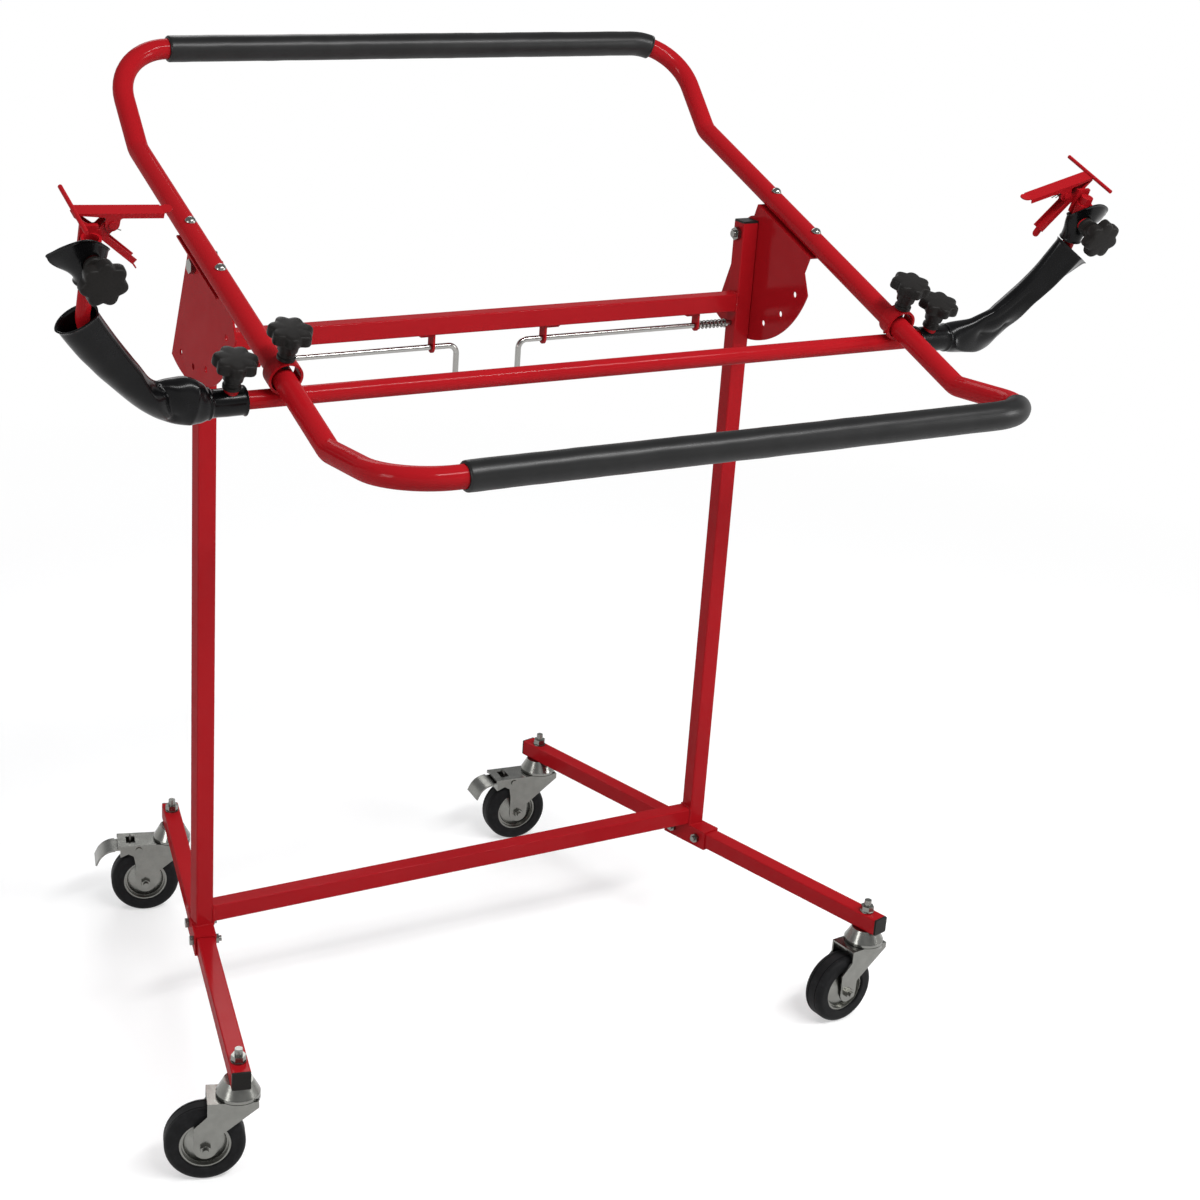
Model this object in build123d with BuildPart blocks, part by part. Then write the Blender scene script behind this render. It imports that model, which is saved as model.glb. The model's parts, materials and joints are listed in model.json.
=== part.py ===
"""Bumper stand: a wheeled frame with a tilting two-bow head and two adjustable clamp arms.

Millimetres. The origin is on the floor midway between the uprights, +X runs to the right
along the crossbars, +Y to the back and +Z upwards.
"""

import os
from math import cos, degrees, pi, radians, sin, sqrt

from build123d import *

os.makedirs("parts", exist_ok=True)

left = -1
right = 1
sides = {"left": left, "right": right}

# Square tube frame
tube_side = 25.0
tube_wall = 1.5
tube_corner = 2.0
upright_spacing = 820.0
upright_over_bar = 102.0
upper_bar_top = 1016.0
lower_bar_top = 194.0
leg_drop = 30.0
leg_splay = radians(13.5)
leg_reach = 383.0
sleeve_wall = 2.0
sleeve_gap = 0.5
sleeve_length = 85.0
cap_head = 3.0
cap_plug = 9.0
cap_gap = 0.15
cap_taper = 8.0

# Fasteners: thread diameter, width across flats and head height
small_bolt = (8.0, 13.0, 5.3)
pivot_bolt = (10.0, 17.0, 6.4)
thread_gap = 0.05
bolt_gap = 0.1
thread_end = 4.0
running_gap = 0.075
sliding_gap = 0.3
leg_bolt_spacing = 50.0

# Casters
caster_inset = 28.0
trail = 42.0
wheel_diameter = 104.0
tyre_width = 34.0
rim_diameter = 66.0
tyre_shoulder = 9.0
tyre_bead = 2.0
tread_groove = 1.2
tread_spacing = 14.0
hub_radius = 9.0
lip_width = 2.5
lip_inset = 3.0
dish_depth = 5.0
hub_step = 2.0
seat_gap = 0.05
fork_inside = 40.0
fork_sheet = 2.5
fork_headroom = 10.5
fork_end_radius = 15.0
fork_back = 25.0
fork_back_depth = 6.0
fork_front_depth = 2.0
fork_knee = 60.0
fork_knee_depth = 16.0
crown_diameter = 57.0
plain_fork_front = 40.0
braked_fork_front = 84.0
stem_diameter = 10.0
stem_stub = 19.0
stem_nut_across = 17.0
stem_nut_height = 8.0
nut_flange_diameter = 20.0
nut_flange = 2.0
cup_top_diameter = 38.0
cup_sheet = 2.0
cup_gap = 0.8
kingpin_head_diameter = 20.0
kingpin_head_height = 4.5
rivet_head = 5.0
rivet_head_height = 2.0

# Brake pedal, measured in the caster's own trail and height
pedal_pin_trail = 52.0
pedal_pin_drop = 5.5
pedal_pin_diameter = 6.0
pedal_eye = 5.0
pedal_width = 36.0
pedal_tip_width = 42.0
pedal_bend_start = 88.0
pedal_bend_radius = 30.0
pedal_bend_angle = radians(65.0)
pedal_tip_length = 8.0
brake_shoe_back = 66.0
brake_shoe_front = 80.0
brake_shoe_back_gap = 3.4
brake_shoe_front_gap = 8.0
window_back = 57.0
window_front = 71.0
window_width = 22.0
tab_width = 14.0
tab_rise = 9.0
tab_point = 5.0

# Rest swivel of each caster: side, end of the leg, angle of the trail, brake
front = 1
rear = -1
casters = {
    "front_left": (left, front, radians(162.0), False),
    "front_right": (right, front, radians(186.0), False),
    "rear_left": (left, rear, radians(164.0), True),
    "rear_right": (right, rear, radians(174.0), True),
}

# Tilting head, measured along the bows' straight sides from the pivot and in rise above it
rest_tilt = radians(20.0)
pivot_drop = 16.0
plate_sheet = 2.5
plate_gap = 0.5
plate_radius = 154.0
plate_front_angle = radians(-3.2)
plate_back_angle = radians(-100.5)
plate_round = 24.0
plate_neck_angle = radians(113.0)
index_radius = 130.0
index_step = radians(20.0)
index_count = 5
index_gap = 0.3
flange_back = -9.0
flange_front = 133.0
flange_width = 27.0
relief_along = 132.0
relief_rise = 15.0
bow_diameter = 27.0
bow_wall = 2.0
bow_rise = 54.5
bow_seam = 121.0
spigot_length = 50.0
spigot_gap = 0.1
spigot_wall = 1.8
frame_bolt_places = (2.0, 110.0)
dome_diameter = 14.0
dome_height = 5.0
kink_radius = 32.0

# Each bow: start of the kink, run of the kink, rise of the kink, corner radius
upper_bow_shape = (-196.5, -137.0, 70.0, 78.0)
lower_bow_shape = (463.0, 148.5, 66.6, 75.0)

# Foam grips
grip_diameter = 35.0
grip_gap = 0.1
upper_grip_left = -361.0
upper_grip_wrap = radians(26.0)
lower_grip_left = -356.0
lower_grip_wrap = radians(50.0)

# Sprung lock pins under the upper crossbar
pin_diameter = 8.0
pin_handle_place = 48.0
pin_handle_length = 50.0
pin_bend = 12.0
pin_travel = 8.0
pin_collar_diameter = 13.0
pin_collar_width = 3.0
pin_collar_stop = 0.5
guide_places = (86.0, 337.0)
guide_sheet = 3.0
guide_width = 16.0
guide_foot = 20.0

# Coil springs: wire diameter, mean radius and turns
lock_spring_wire = 1.6
lock_spring_radius = 5.4
lock_spring_turns = 7
lock_spring_seat = 0.3
jaw_spring_wire = 1.2
jaw_spring_radius = 4.2
jaw_spring_turns = 4.5
jaw_spring_pitch = 2.0
jaw_spring_leg = 14.0
steps_per_turn = 4

# Carriage
cross_along = 321.0
cross_diameter = 22.0
cross_wall = 2.0
cross_overhang = 96.0
collar_outside = 42.4
collar_wall = 3.0
collar_length = 20.0

# Star knobs
knob_height = 42.0
knob_head = 15.0
knob_lobes = 7
knob_core_radius = 22.0
knob_lobe_circle = 19.5
knob_lobe_radius = 7.5
knob_edge = 2.0
knob_edge_slope = 45.0
knob_hub_top = 15.0
knob_hub_waist = 10.0
knob_foot_radius = 11.0
knob_foot_height = 4.0
knob_lift = 1.0
stud_diameter = 10.0

# Arms, measured outwards from the end of the cross tube and in rise
arm_overlap = 51.0
arm_socket_end = 21.0
arm_socket_plug = 15.0
arm_socket_wall = 2.7
arm_knob_inset = 35.0
arm_elbow_reach = 43.0
arm_shoulder_rise = 146.0
arm_bend = 40.0
arm_boss_diameter = 18.0
arm_boss_height = 5.0
post_diameter = 16.0
post_reach = 150.0
post_top_rise = 236.0

# Rubber arm covers: place past the cross tube's end, rise, half width, half depth, lean of the section
cover_wall = 2.5
cover_stations = {
    "left": (
        (-53.0, 26.4, 17.0, 17.0, 0.0),
        (-29.0, 26.6, 17.6, 17.4, 0.0),
        (-5.0, 29.0, 20.5, 19.5, 4.0),
        (37.0, 37.0, 30.0, 20.0, 24.0),
        (78.0, 58.0, 20.5, 22.0, 48.0),
        (126.0, 111.0, 23.0, 23.0, 51.0),
        (157.5, 155.5, 24.5, 24.5, 57.0),
    ),
    "right": (
        (-53.0, 26.4, 17.0, 17.0, 0.0),
        (-29.0, 26.4, 17.8, 17.6, 0.0),
        (3.0, 25.5, 21.0, 19.5, 0.0),
        (36.0, 26.0, 26.0, 19.0, 10.0),
        (74.0, 43.0, 32.0, 17.0, 32.0),
        (99.0, 71.0, 26.0, 18.0, 50.0),
        (132.0, 110.0, 29.5, 17.0, 56.0),
        (162.0, 151.5, 39.0, 14.0, 57.0),
    ),
}

# Spring clamps, outward place from the post and rise before each side's own turn and lift
clamp_lift = {"left": 14.0, "right": -14.0}
clamp_turn = {"left": 0.0, "right": radians(15.0)}
clamp_back = 21.0
clamp_nose = (15.0, 262.0)
clamp_rivet = (-26.0, 246.5)
moving_tip = (-82.0, 257.5)
fixed_tip = (-54.0, 195.5)
fixed_nose = (16.0, 256.5)
jaw_sheet = 1.5
moving_width = 18.0
fixed_width = 14.4
moving_depth = 6.0
fixed_depth = 7.0
nose_depth = 2.5
neck_depth = 5.0
moving_ear = 8.0
fixed_ear = 7.0
jaw_rivet_diameter = 5.0
jaw_rivet_head = 1.5
jaw_rivet_head_diameter = 8.0
cross_rod_diameter = 5.0
cross_rod_length = 92.0
tongue_length = 11.0
tongue_inset = 2.0
tongue_root = 2.0
tongue_bend = radians(14.0)
ear_round = 3.0
clamp_socket_bottom = 195.0
clamp_socket_top = 240.0
clamp_socket_wall = 2.7
clamp_boss_rise = 216.0
clamp_boss_height = 3.0
weld_plate_half = 10.0
weld_plate_bottom = 222.0
weld_overlap = 6.0

# Rubber clamp covers: rise, outward shift from the post, half width, half depth
clamp_cover_wall = 2.0
clamp_cover_stations = (
    (187.0, 0.0, 13.6, 13.6),
    (208.0, 3.0, 19.0, 14.0),
    (233.0, 8.0, 28.0, 14.0),
)

# Worked-out places
half_spacing = upright_spacing / 2
tube_half = tube_side / 2
tube_inside = tube_side - 2 * tube_wall
leg_height = lower_bar_top - leg_drop - tube_half
sleeve_inside = tube_side + 2 * sleeve_gap
sleeve_outside = sleeve_inside + 2 * sleeve_wall
upright_bottom = leg_height + sleeve_outside / 2
upright_top = upper_bar_top + upright_over_bar
pivot_height = upright_top - pivot_drop
pin_height = pivot_height - index_radius
upright_outer_face = half_spacing + tube_half
upright_inner_face = half_spacing - tube_half
plate_inner_face = upright_outer_face + plate_gap
plate_outer_face = plate_inner_face + plate_sheet
bow_place = plate_outer_face + bow_diameter / 2
cross_half_length = bow_place + cross_overhang
flange_rise = bow_rise - bow_diameter / 2
collar_rise = bow_rise - bow_diameter / 2 - sliding_gap + collar_outside / 2 - collar_wall
cross_rise = collar_rise - collar_outside / 2 - cross_diameter / 2
caster_reach = leg_reach - caster_inset
wheel_radius = wheel_diameter / 2
fork_underside = wheel_diameter + fork_headroom
fork_top = fork_underside + fork_sheet
fork_half = fork_inside / 2 + fork_sheet
leg_underside = leg_height - tube_half
leg_top = leg_height + tube_half
pedal_pin_height = fork_underside - pedal_pin_drop
arm_inner = cross_half_length - arm_overlap
arm_socket_outer = cross_half_length + arm_socket_end
arm_knob_place = cross_half_length - arm_knob_inset
arm_elbow = cross_half_length + arm_elbow_reach
post_place = cross_half_length + post_reach
clamp_along = cross_along - clamp_back
arm_socket_inside = cross_diameter + 2 * sliding_gap
arm_socket_outside = arm_socket_inside + 2 * arm_socket_wall
clamp_socket_inside = post_diameter + 2 * sliding_gap
clamp_socket_outside = clamp_socket_inside + 2 * clamp_socket_wall
across = Vector(1, 0, 0)
upwards = Vector(0, 0, 1)
forward = Vector(0, -cos(rest_tilt), -sin(rest_tilt))
lift = Vector(0, -sin(rest_tilt), cos(rest_tilt))


# Planes and small tools

def head_point(x, along, rise):
    """A point of the tilting head, from its place across, along and above the pivot."""
    return Vector(0, 0, pivot_height) + across * x + forward * along + lift * rise


def head_side(x):
    """The plane at x whose own x runs forward along the head and whose y rises."""
    return Plane(origin=head_point(x, 0, 0), x_dir=forward, z_dir=across * -1)


def head_floor(rise):
    """The plane at a rise whose own x runs across and whose y runs back along the head."""
    return Plane(origin=head_point(0, 0, rise), x_dir=across, z_dir=lift)


def arm_plane(side, along):
    """The plane at one place along the head whose own x runs outwards and whose y rises."""
    return Plane(origin=head_point(0, along, 0), x_dir=across * side, z_dir=forward * side)


def section_of(plane):
    """The plane through a plane's normal, for outlines given as radius and height."""
    return Plane(origin=plane.origin, x_dir=plane.x_dir, z_dir=plane.y_dir * -1)


def axis_of(plane):
    """The normal of a plane as an axis."""
    return Axis(plane.origin, plane.z_dir)


def leg_plane(side):
    """The plane across a leg in the middle of its sleeve, looking along it to the front."""
    return Plane(
        origin=(side * half_spacing, 0, leg_height),
        x_dir=(side * cos(leg_splay), sin(leg_splay), 0),
        z_dir=(side * sin(leg_splay), -cos(leg_splay), 0),
    )


def tube_profile(outside, wall):
    """A round tube's ring in the sketch that is open."""
    Circle(outside / 2)
    Circle(outside / 2 - wall, mode=Mode.SUBTRACT)


def square_profile(outside, wall):
    """A square tube's ring in the sketch that is open."""
    RectangleRounded(outside, outside, tube_corner)
    Rectangle(outside - 2 * wall, outside - 2 * wall, mode=Mode.SUBTRACT)


def save(part, name):
    """Label one piece and write its file."""
    part.label = name
    export_step(part, f"parts/{name}.step")


def make_hex_bolt(seat, grip, size):
    """A hex bolt with its head behind the seat plane and its nut at the far end of the grip."""
    diameter, flats, head = size
    with BuildPart() as bolt:
        with BuildSketch(seat):
            RegularPolygon(flats / 2, 6, major_radius=False)
        extrude(amount=-head)
        with BuildSketch(seat):
            Circle(diameter / 2)
        extrude(amount=grip + head + thread_end)
    with BuildPart() as nut:
        with BuildSketch(seat.offset(grip)):
            RegularPolygon(flats / 2, 6, major_radius=False)
            Circle(diameter / 2 + thread_gap, mode=Mode.SUBTRACT)
        extrude(amount=head)
    return [bolt.part, nut.part]


# Uprights and crossbars

for name, side in sides.items():
    with BuildPart() as upright:
        with BuildSketch(Plane(origin=(side * half_spacing, 0, upright_bottom))):
            square_profile(tube_side, tube_wall)
        extrude(amount=upright_top - upright_bottom)
        with BuildSketch(Plane(origin=(side * half_spacing, 0, pivot_height), z_dir=across)):
            Circle(pivot_bolt[0] / 2 + bolt_gap)
        extrude(amount=tube_side, both=True, mode=Mode.SUBTRACT)
        with BuildSketch(Plane(origin=(side * half_spacing, 0, pin_height), z_dir=across)):
            Circle(pin_diameter / 2 + running_gap)
        extrude(amount=tube_side, both=True, mode=Mode.SUBTRACT)
    save(upright.part, f"{name}_upright")

for name, bar_top in (("upper", upper_bar_top), ("lower", lower_bar_top)):
    with BuildPart() as crossbar:
        with BuildSketch(Plane(origin=(0, 0, bar_top - tube_half), z_dir=across)):
            square_profile(tube_side, tube_wall)
        extrude(amount=upright_inner_face, both=True)
    save(crossbar.part, f"{name}_crossbar")


# Legs, their sleeves, bolts and caps

def leg_bolt_plane(side, place):
    """The plane of a leg bolt's axis, facing outwards, at a place along the leg."""
    leg = leg_plane(side)
    return Plane(origin=leg.from_local_coords((0, 0, place)), x_dir=upwards, z_dir=leg.x_dir)


leg_bolt_places = (-leg_bolt_spacing / 2, leg_bolt_spacing / 2)

with BuildPart() as leg_sleeves:
    for side in sides.values():
        with BuildSketch(leg_plane(side)):
            Rectangle(sleeve_outside, sleeve_outside)
            Rectangle(sleeve_inside, sleeve_inside, mode=Mode.SUBTRACT)
        extrude(amount=sleeve_length / 2, both=True)
        for place in leg_bolt_places:
            with BuildSketch(leg_bolt_plane(side, place)):
                Circle(small_bolt[0] / 2 + bolt_gap)
            extrude(amount=sleeve_outside, both=True, mode=Mode.SUBTRACT)
save(leg_sleeves.part, "leg_sleeves")

for name, side in sides.items():
    leg_place = leg_plane(side)
    with BuildPart() as leg:
        with BuildSketch(leg_place):
            square_profile(tube_side, tube_wall)
        extrude(amount=leg_reach - cap_head, both=True)
        for place in leg_bolt_places:
            with BuildSketch(leg_bolt_plane(side, place)):
                Circle(small_bolt[0] / 2 + bolt_gap)
            extrude(amount=tube_side, both=True, mode=Mode.SUBTRACT)
        for end in (front, rear):
            with BuildSketch(Plane(origin=leg_place.from_local_coords((0, 0, end * caster_reach)))):
                Circle(stem_diameter / 2 + bolt_gap)
            extrude(amount=tube_side, both=True, mode=Mode.SUBTRACT)
    save(leg.part, f"{name}_leg")


def make_cap(seat):
    """A plastic end cap: a square head on the seat plane and a plug in the tube."""
    with BuildPart() as cap:
        with BuildSketch(seat):
            RectangleRounded(tube_side, tube_side, tube_corner)
        extrude(amount=cap_head, taper=cap_taper)
        with BuildSketch(seat):
            Rectangle(tube_inside - 2 * cap_gap, tube_inside - 2 * cap_gap)
        extrude(amount=-cap_plug)
    return cap.part


caps = []
for side in sides.values():
    caps.append(make_cap(Plane(origin=(side * half_spacing, 0, upright_top))))
    leg_place = leg_plane(side)
    for end in (front, rear):
        leg_end = leg_place.from_local_coords((0, 0, end * (leg_reach - cap_head)))
        caps.append(make_cap(Plane(origin=leg_end, x_dir=upwards, z_dir=leg_place.z_dir * end)))
with BuildPart() as end_caps:
    add(caps)
save(end_caps.part, "end_caps")

bolts = []
for side in sides.values():
    for place in leg_bolt_places:
        axis_plane = leg_bolt_plane(side, place)
        head_seat = axis_plane.offset(sleeve_outside / 2)
        seat = Plane(origin=head_seat.origin, x_dir=upwards, z_dir=axis_plane.z_dir * -1)
        bolts += make_hex_bolt(seat, sleeve_outside, small_bolt)
    pivot_seat = plate_outer_face + sliding_gap
    seat = Plane(origin=(side * pivot_seat, 0, pivot_height), x_dir=upwards, z_dir=across * -side)
    bolts += make_hex_bolt(seat, pivot_seat - upright_inner_face, pivot_bolt)
with BuildPart() as frame_bolts:
    add(bolts)
save(frame_bolts.part, "frame_bolts")


# Casters

def caster_plane(side, end, angle):
    """The plane on the floor under a caster's stem, whose own x runs along the trail."""
    stem = leg_plane(side).from_local_coords((0, 0, end * caster_reach))
    return Plane(origin=(stem.X, stem.Y, 0), x_dir=(cos(angle), sin(angle), 0), z_dir=upwards)


def caster_side(caster):
    """The plane along a caster's trail whose own x is the trail and whose y is the height."""
    return Plane(origin=caster.origin, x_dir=caster.x_dir, z_dir=caster.y_dir * -1)


def axle_plane(caster, place, height):
    """The plane across an axle of the caster at a place along the trail, facing its own y."""
    return Plane(
        origin=caster.from_local_coords((place, 0, height)),
        x_dir=upwards,
        z_dir=caster.y_dir,
    )


def make_fork(caster, braked):
    """The pressed fork: two cheeks, a top plate and the round crown under the bearing cup."""
    reach = braked_fork_front if braked else plain_fork_front
    crown = crown_diameter / 2
    end = fork_end_radius
    with BuildPart() as fork:
        with BuildSketch(caster_side(caster)):
            with BuildLine():
                Polyline(
                    (trail - end, wheel_radius),
                    (trail - end, wheel_radius + end),
                    (-fork_back, fork_underside - fork_back_depth),
                    (-fork_back, fork_top),
                    (reach, fork_top),
                    (reach, fork_underside - fork_front_depth),
                    (min(reach, fork_knee), fork_underside - fork_knee_depth),
                    (trail + end, wheel_radius + end * 2),
                    (trail + end, wheel_radius),
                )
                ThreePointArc(
                    (trail + end, wheel_radius),
                    (trail, wheel_radius - end),
                    (trail - end, wheel_radius),
                )
            make_face()
        extrude(amount=fork_half, both=True)
        with BuildSketch(caster):
            Rectangle(2 * (reach + fork_back), fork_inside)
        extrude(amount=fork_underside, mode=Mode.SUBTRACT)
        with BuildSketch(caster.offset(fork_underside - fork_sheet)):
            tube_profile(crown_diameter, fork_sheet)
        extrude(amount=fork_sheet)
        with BuildSketch(caster.offset(fork_underside)):
            Circle(crown)
        extrude(amount=fork_sheet)
        with BuildSketch(caster):
            Circle(stem_diameter / 2 + running_gap)
        extrude(amount=fork_top, mode=Mode.SUBTRACT)
        with BuildSketch(axle_plane(caster, trail, wheel_radius)):
            Circle(small_bolt[0] / 2 + bolt_gap)
        extrude(amount=fork_half, both=True, mode=Mode.SUBTRACT)
        if braked:
            with BuildSketch(axle_plane(caster, pedal_pin_trail, pedal_pin_height)):
                Circle(pedal_pin_diameter / 2 + bolt_gap)
            extrude(amount=fork_half, both=True, mode=Mode.SUBTRACT)
            window = caster.from_local_coords(((window_back + window_front) / 2, 0, fork_underside))
            with BuildSketch(Plane(origin=window, x_dir=caster.x_dir, z_dir=upwards)):
                Rectangle(window_front - window_back, window_width)
            extrude(amount=fork_sheet, mode=Mode.SUBTRACT)
    return fork.part


def make_axle(caster, braked):
    """The axle bolt with its nut and, on a braked caster, the pedal's pin."""
    seat = axle_plane(caster, trail, wheel_radius).offset(-fork_half)
    solids = make_hex_bolt(seat, 2 * fork_half, small_bolt)
    if braked:
        with BuildPart() as pin:
            with BuildSketch(axle_plane(caster, pedal_pin_trail, pedal_pin_height)):
                Circle(pedal_pin_diameter / 2)
            extrude(amount=fork_half + rivet_head_height, both=True)
            for end in (front, rear):
                pin_end = axle_plane(caster, pedal_pin_trail, pedal_pin_height).offset(end * fork_half)
                with BuildSketch(pin_end):
                    Circle(rivet_head)
                extrude(amount=end * rivet_head_height)
        solids.append(pin.part)
    with BuildPart() as axle:
        add(solids)
    return axle.part


def make_rim(caster):
    """The pressed rim: a hub on the axle, two dished faces and two rolled lips."""
    axle = axle_plane(caster, trail, wheel_radius)
    bore = small_bolt[0] / 2 + running_gap
    hub = fork_inside / 2 - 2 * sliding_gap
    seat = rim_diameter / 2
    lip = tyre_width / 2 - lip_inset
    dish = lip - dish_depth
    inner = seat - lip_width
    half_outline = [
        (bore, hub),
        (hub_radius, hub),
        (hub_radius + hub_step, hub - hub_step),
        (inner - lip_width, dish),
        (inner, dish),
        (inner, lip),
        (seat, lip),
    ]
    with BuildPart() as rim:
        with BuildSketch(section_of(axle)):
            with BuildLine():
                Polyline(half_outline + [(r, -y) for r, y in reversed(half_outline)], close=True)
            make_face()
        revolve(axis=axis_of(axle))
    return rim.part


def make_tyre(caster):
    """The rubber tyre with round shoulders and two tread grooves."""
    axle = axle_plane(caster, trail, wheel_radius)
    seat = rim_diameter / 2 + seat_gap
    half = tyre_width / 2
    corners = ((seat, half), (seat, -half), (wheel_radius, -half), (wheel_radius, half))
    radii = (tyre_bead, tyre_bead, tyre_shoulder, tyre_shoulder)
    with BuildPart() as tyre:
        with BuildSketch(section_of(axle)):
            with BuildLine():
                FilletPolyline(*corners, radius=radii, close=True)
            make_face()
            with Locations((wheel_radius, tread_spacing / 2), (wheel_radius, -tread_spacing / 2)):
                Rectangle(2 * tread_groove, tread_groove, mode=Mode.SUBTRACT)
        revolve(axis=axis_of(axle))
    return tyre.part


def tyre_top(place):
    """The height of the tyre's upper surface at a place along the trail."""
    return wheel_radius + sqrt(wheel_radius**2 - (place - trail) ** 2)


def make_pedal(caster):
    """The brake pedal: a plate on the pin, its turned-down tip, the shoe and the upper tab."""
    side = caster_side(caster)
    top = pedal_pin_height + fork_sheet / 2
    bottom = top - fork_sheet
    bend = (pedal_bend_start, top - pedal_bend_radius)
    start_angle = 90.0
    turn = degrees(pedal_bend_angle)
    tip_run = Vector(sin(pedal_bend_angle), cos(pedal_bend_angle))
    tip_down = Vector(cos(pedal_bend_angle), -sin(pedal_bend_angle))
    tip_top = Vector(*bend) + tip_run * pedal_bend_radius
    tip_under = Vector(*bend) + tip_run * (pedal_bend_radius - fork_sheet)
    with BuildPart() as pedal:
        with BuildSketch(side):
            with Locations(((pedal_pin_trail + pedal_bend_start) / 2, (top + bottom) / 2)):
                Rectangle(pedal_bend_start - pedal_pin_trail, fork_sheet)
            with Locations((pedal_pin_trail, pedal_pin_height)):
                Circle(pedal_eye)
            with BuildLine():
                Polyline(
                    (brake_shoe_back, top),
                    (brake_shoe_front, top),
                    (brake_shoe_front, tyre_top(brake_shoe_front) + brake_shoe_front_gap),
                    (brake_shoe_back, tyre_top(brake_shoe_back) + brake_shoe_back_gap),
                    close=True,
                )
            make_face()
        extrude(amount=pedal_width / 2, both=True)
        with BuildSketch(side):
            with BuildLine():
                CenterArc(bend, pedal_bend_radius, start_angle, -turn)
                Polyline(
                    tip_top,
                    tip_top + tip_down * pedal_tip_length,
                    tip_under + tip_down * pedal_tip_length,
                    tip_under,
                )
                CenterArc(bend, pedal_bend_radius - fork_sheet, start_angle - turn, turn)
                Line((pedal_bend_start, bottom), (pedal_bend_start, top))
            make_face()
        extrude(amount=pedal_tip_width / 2, both=True)
        tab_foot = caster.from_local_coords((brake_shoe_back - fork_sheet, 0, bottom))
        with BuildSketch(Plane(origin=tab_foot, x_dir=caster.y_dir, z_dir=caster.x_dir)):
            with BuildLine():
                tab_top = fork_top - bottom + tab_rise
                Polyline(
                    (-tab_width / 2, 0),
                    (tab_width / 2, 0),
                    (tab_width / 2, tab_top - tab_point),
                    (0, tab_top),
                    (-tab_width / 2, tab_top - tab_point),
                    close=True,
                )
            make_face()
        extrude(amount=fork_sheet)
        with BuildSketch(axle_plane(caster, pedal_pin_trail, pedal_pin_height)):
            Circle(pedal_pin_diameter / 2 + running_gap)
        extrude(amount=pedal_width, both=True, mode=Mode.SUBTRACT)
    return pedal.part


def make_stem(caster):
    """The stem with its kingpin head and bearing cup, then its flange nut."""
    radius = stem_diameter / 2
    crown = crown_diameter / 2
    kingpin_top = fork_underside - cup_gap
    kingpin_bottom = kingpin_top - kingpin_head_height
    rim_bottom = fork_top + cup_gap
    cup_inside = leg_underside - cup_sheet
    with BuildPart() as stem:
        with BuildSketch(section_of(caster)):
            with BuildLine():
                Polyline(
                    (0, kingpin_bottom),
                    (kingpin_head_diameter / 2, kingpin_bottom),
                    (kingpin_head_diameter / 2, kingpin_top),
                    (radius, kingpin_top),
                    (radius, cup_inside),
                    (cup_top_diameter / 2 - cup_sheet, cup_inside),
                    (crown - cup_sheet, rim_bottom + 2 * cup_sheet),
                    (crown - cup_sheet, rim_bottom),
                    (crown, rim_bottom),
                    (crown, rim_bottom + 2 * cup_sheet),
                    (cup_top_diameter / 2, leg_underside),
                    (radius, leg_underside),
                    (radius, leg_top + stem_stub),
                    (0, leg_top + stem_stub),
                    close=True,
                )
            make_face()
        revolve(axis=axis_of(caster))
    with BuildPart() as nut:
        with BuildSketch(caster.offset(leg_top)):
            Circle(nut_flange_diameter / 2)
        extrude(amount=nut_flange)
        with BuildSketch(caster.offset(leg_top + nut_flange)):
            RegularPolygon(stem_nut_across / 2, 6, major_radius=False)
        extrude(amount=stem_nut_height)
        with BuildSketch(caster.offset(leg_top)):
            Circle(radius + thread_gap)
        extrude(amount=nut_flange + stem_nut_height, mode=Mode.SUBTRACT)
    return [stem.part, nut.part]


stems = []
for name, (side, end, angle, braked) in casters.items():
    caster = caster_plane(side, end, angle)
    save(make_fork(caster, braked), f"{name}_fork")
    save(make_axle(caster, braked), f"{name}_axle")
    save(make_rim(caster), f"{name}_rim")
    save(make_tyre(caster), f"{name}_tyre")
    if braked:
        save(make_pedal(caster), f"{name}_brake_pedal")
    stems += make_stem(caster)
with BuildPart() as caster_stems:
    add(stems)
save(caster_stems.part, "caster_stems")


# Tilt plates

def polar(radius, angle):
    """A point of the tilt plate's side view, from its distance and angle about the pivot."""
    return (radius * cos(angle), radius * sin(angle))


back_tangent = plate_back_angle - pi / 2 + plate_round / plate_radius

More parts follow.
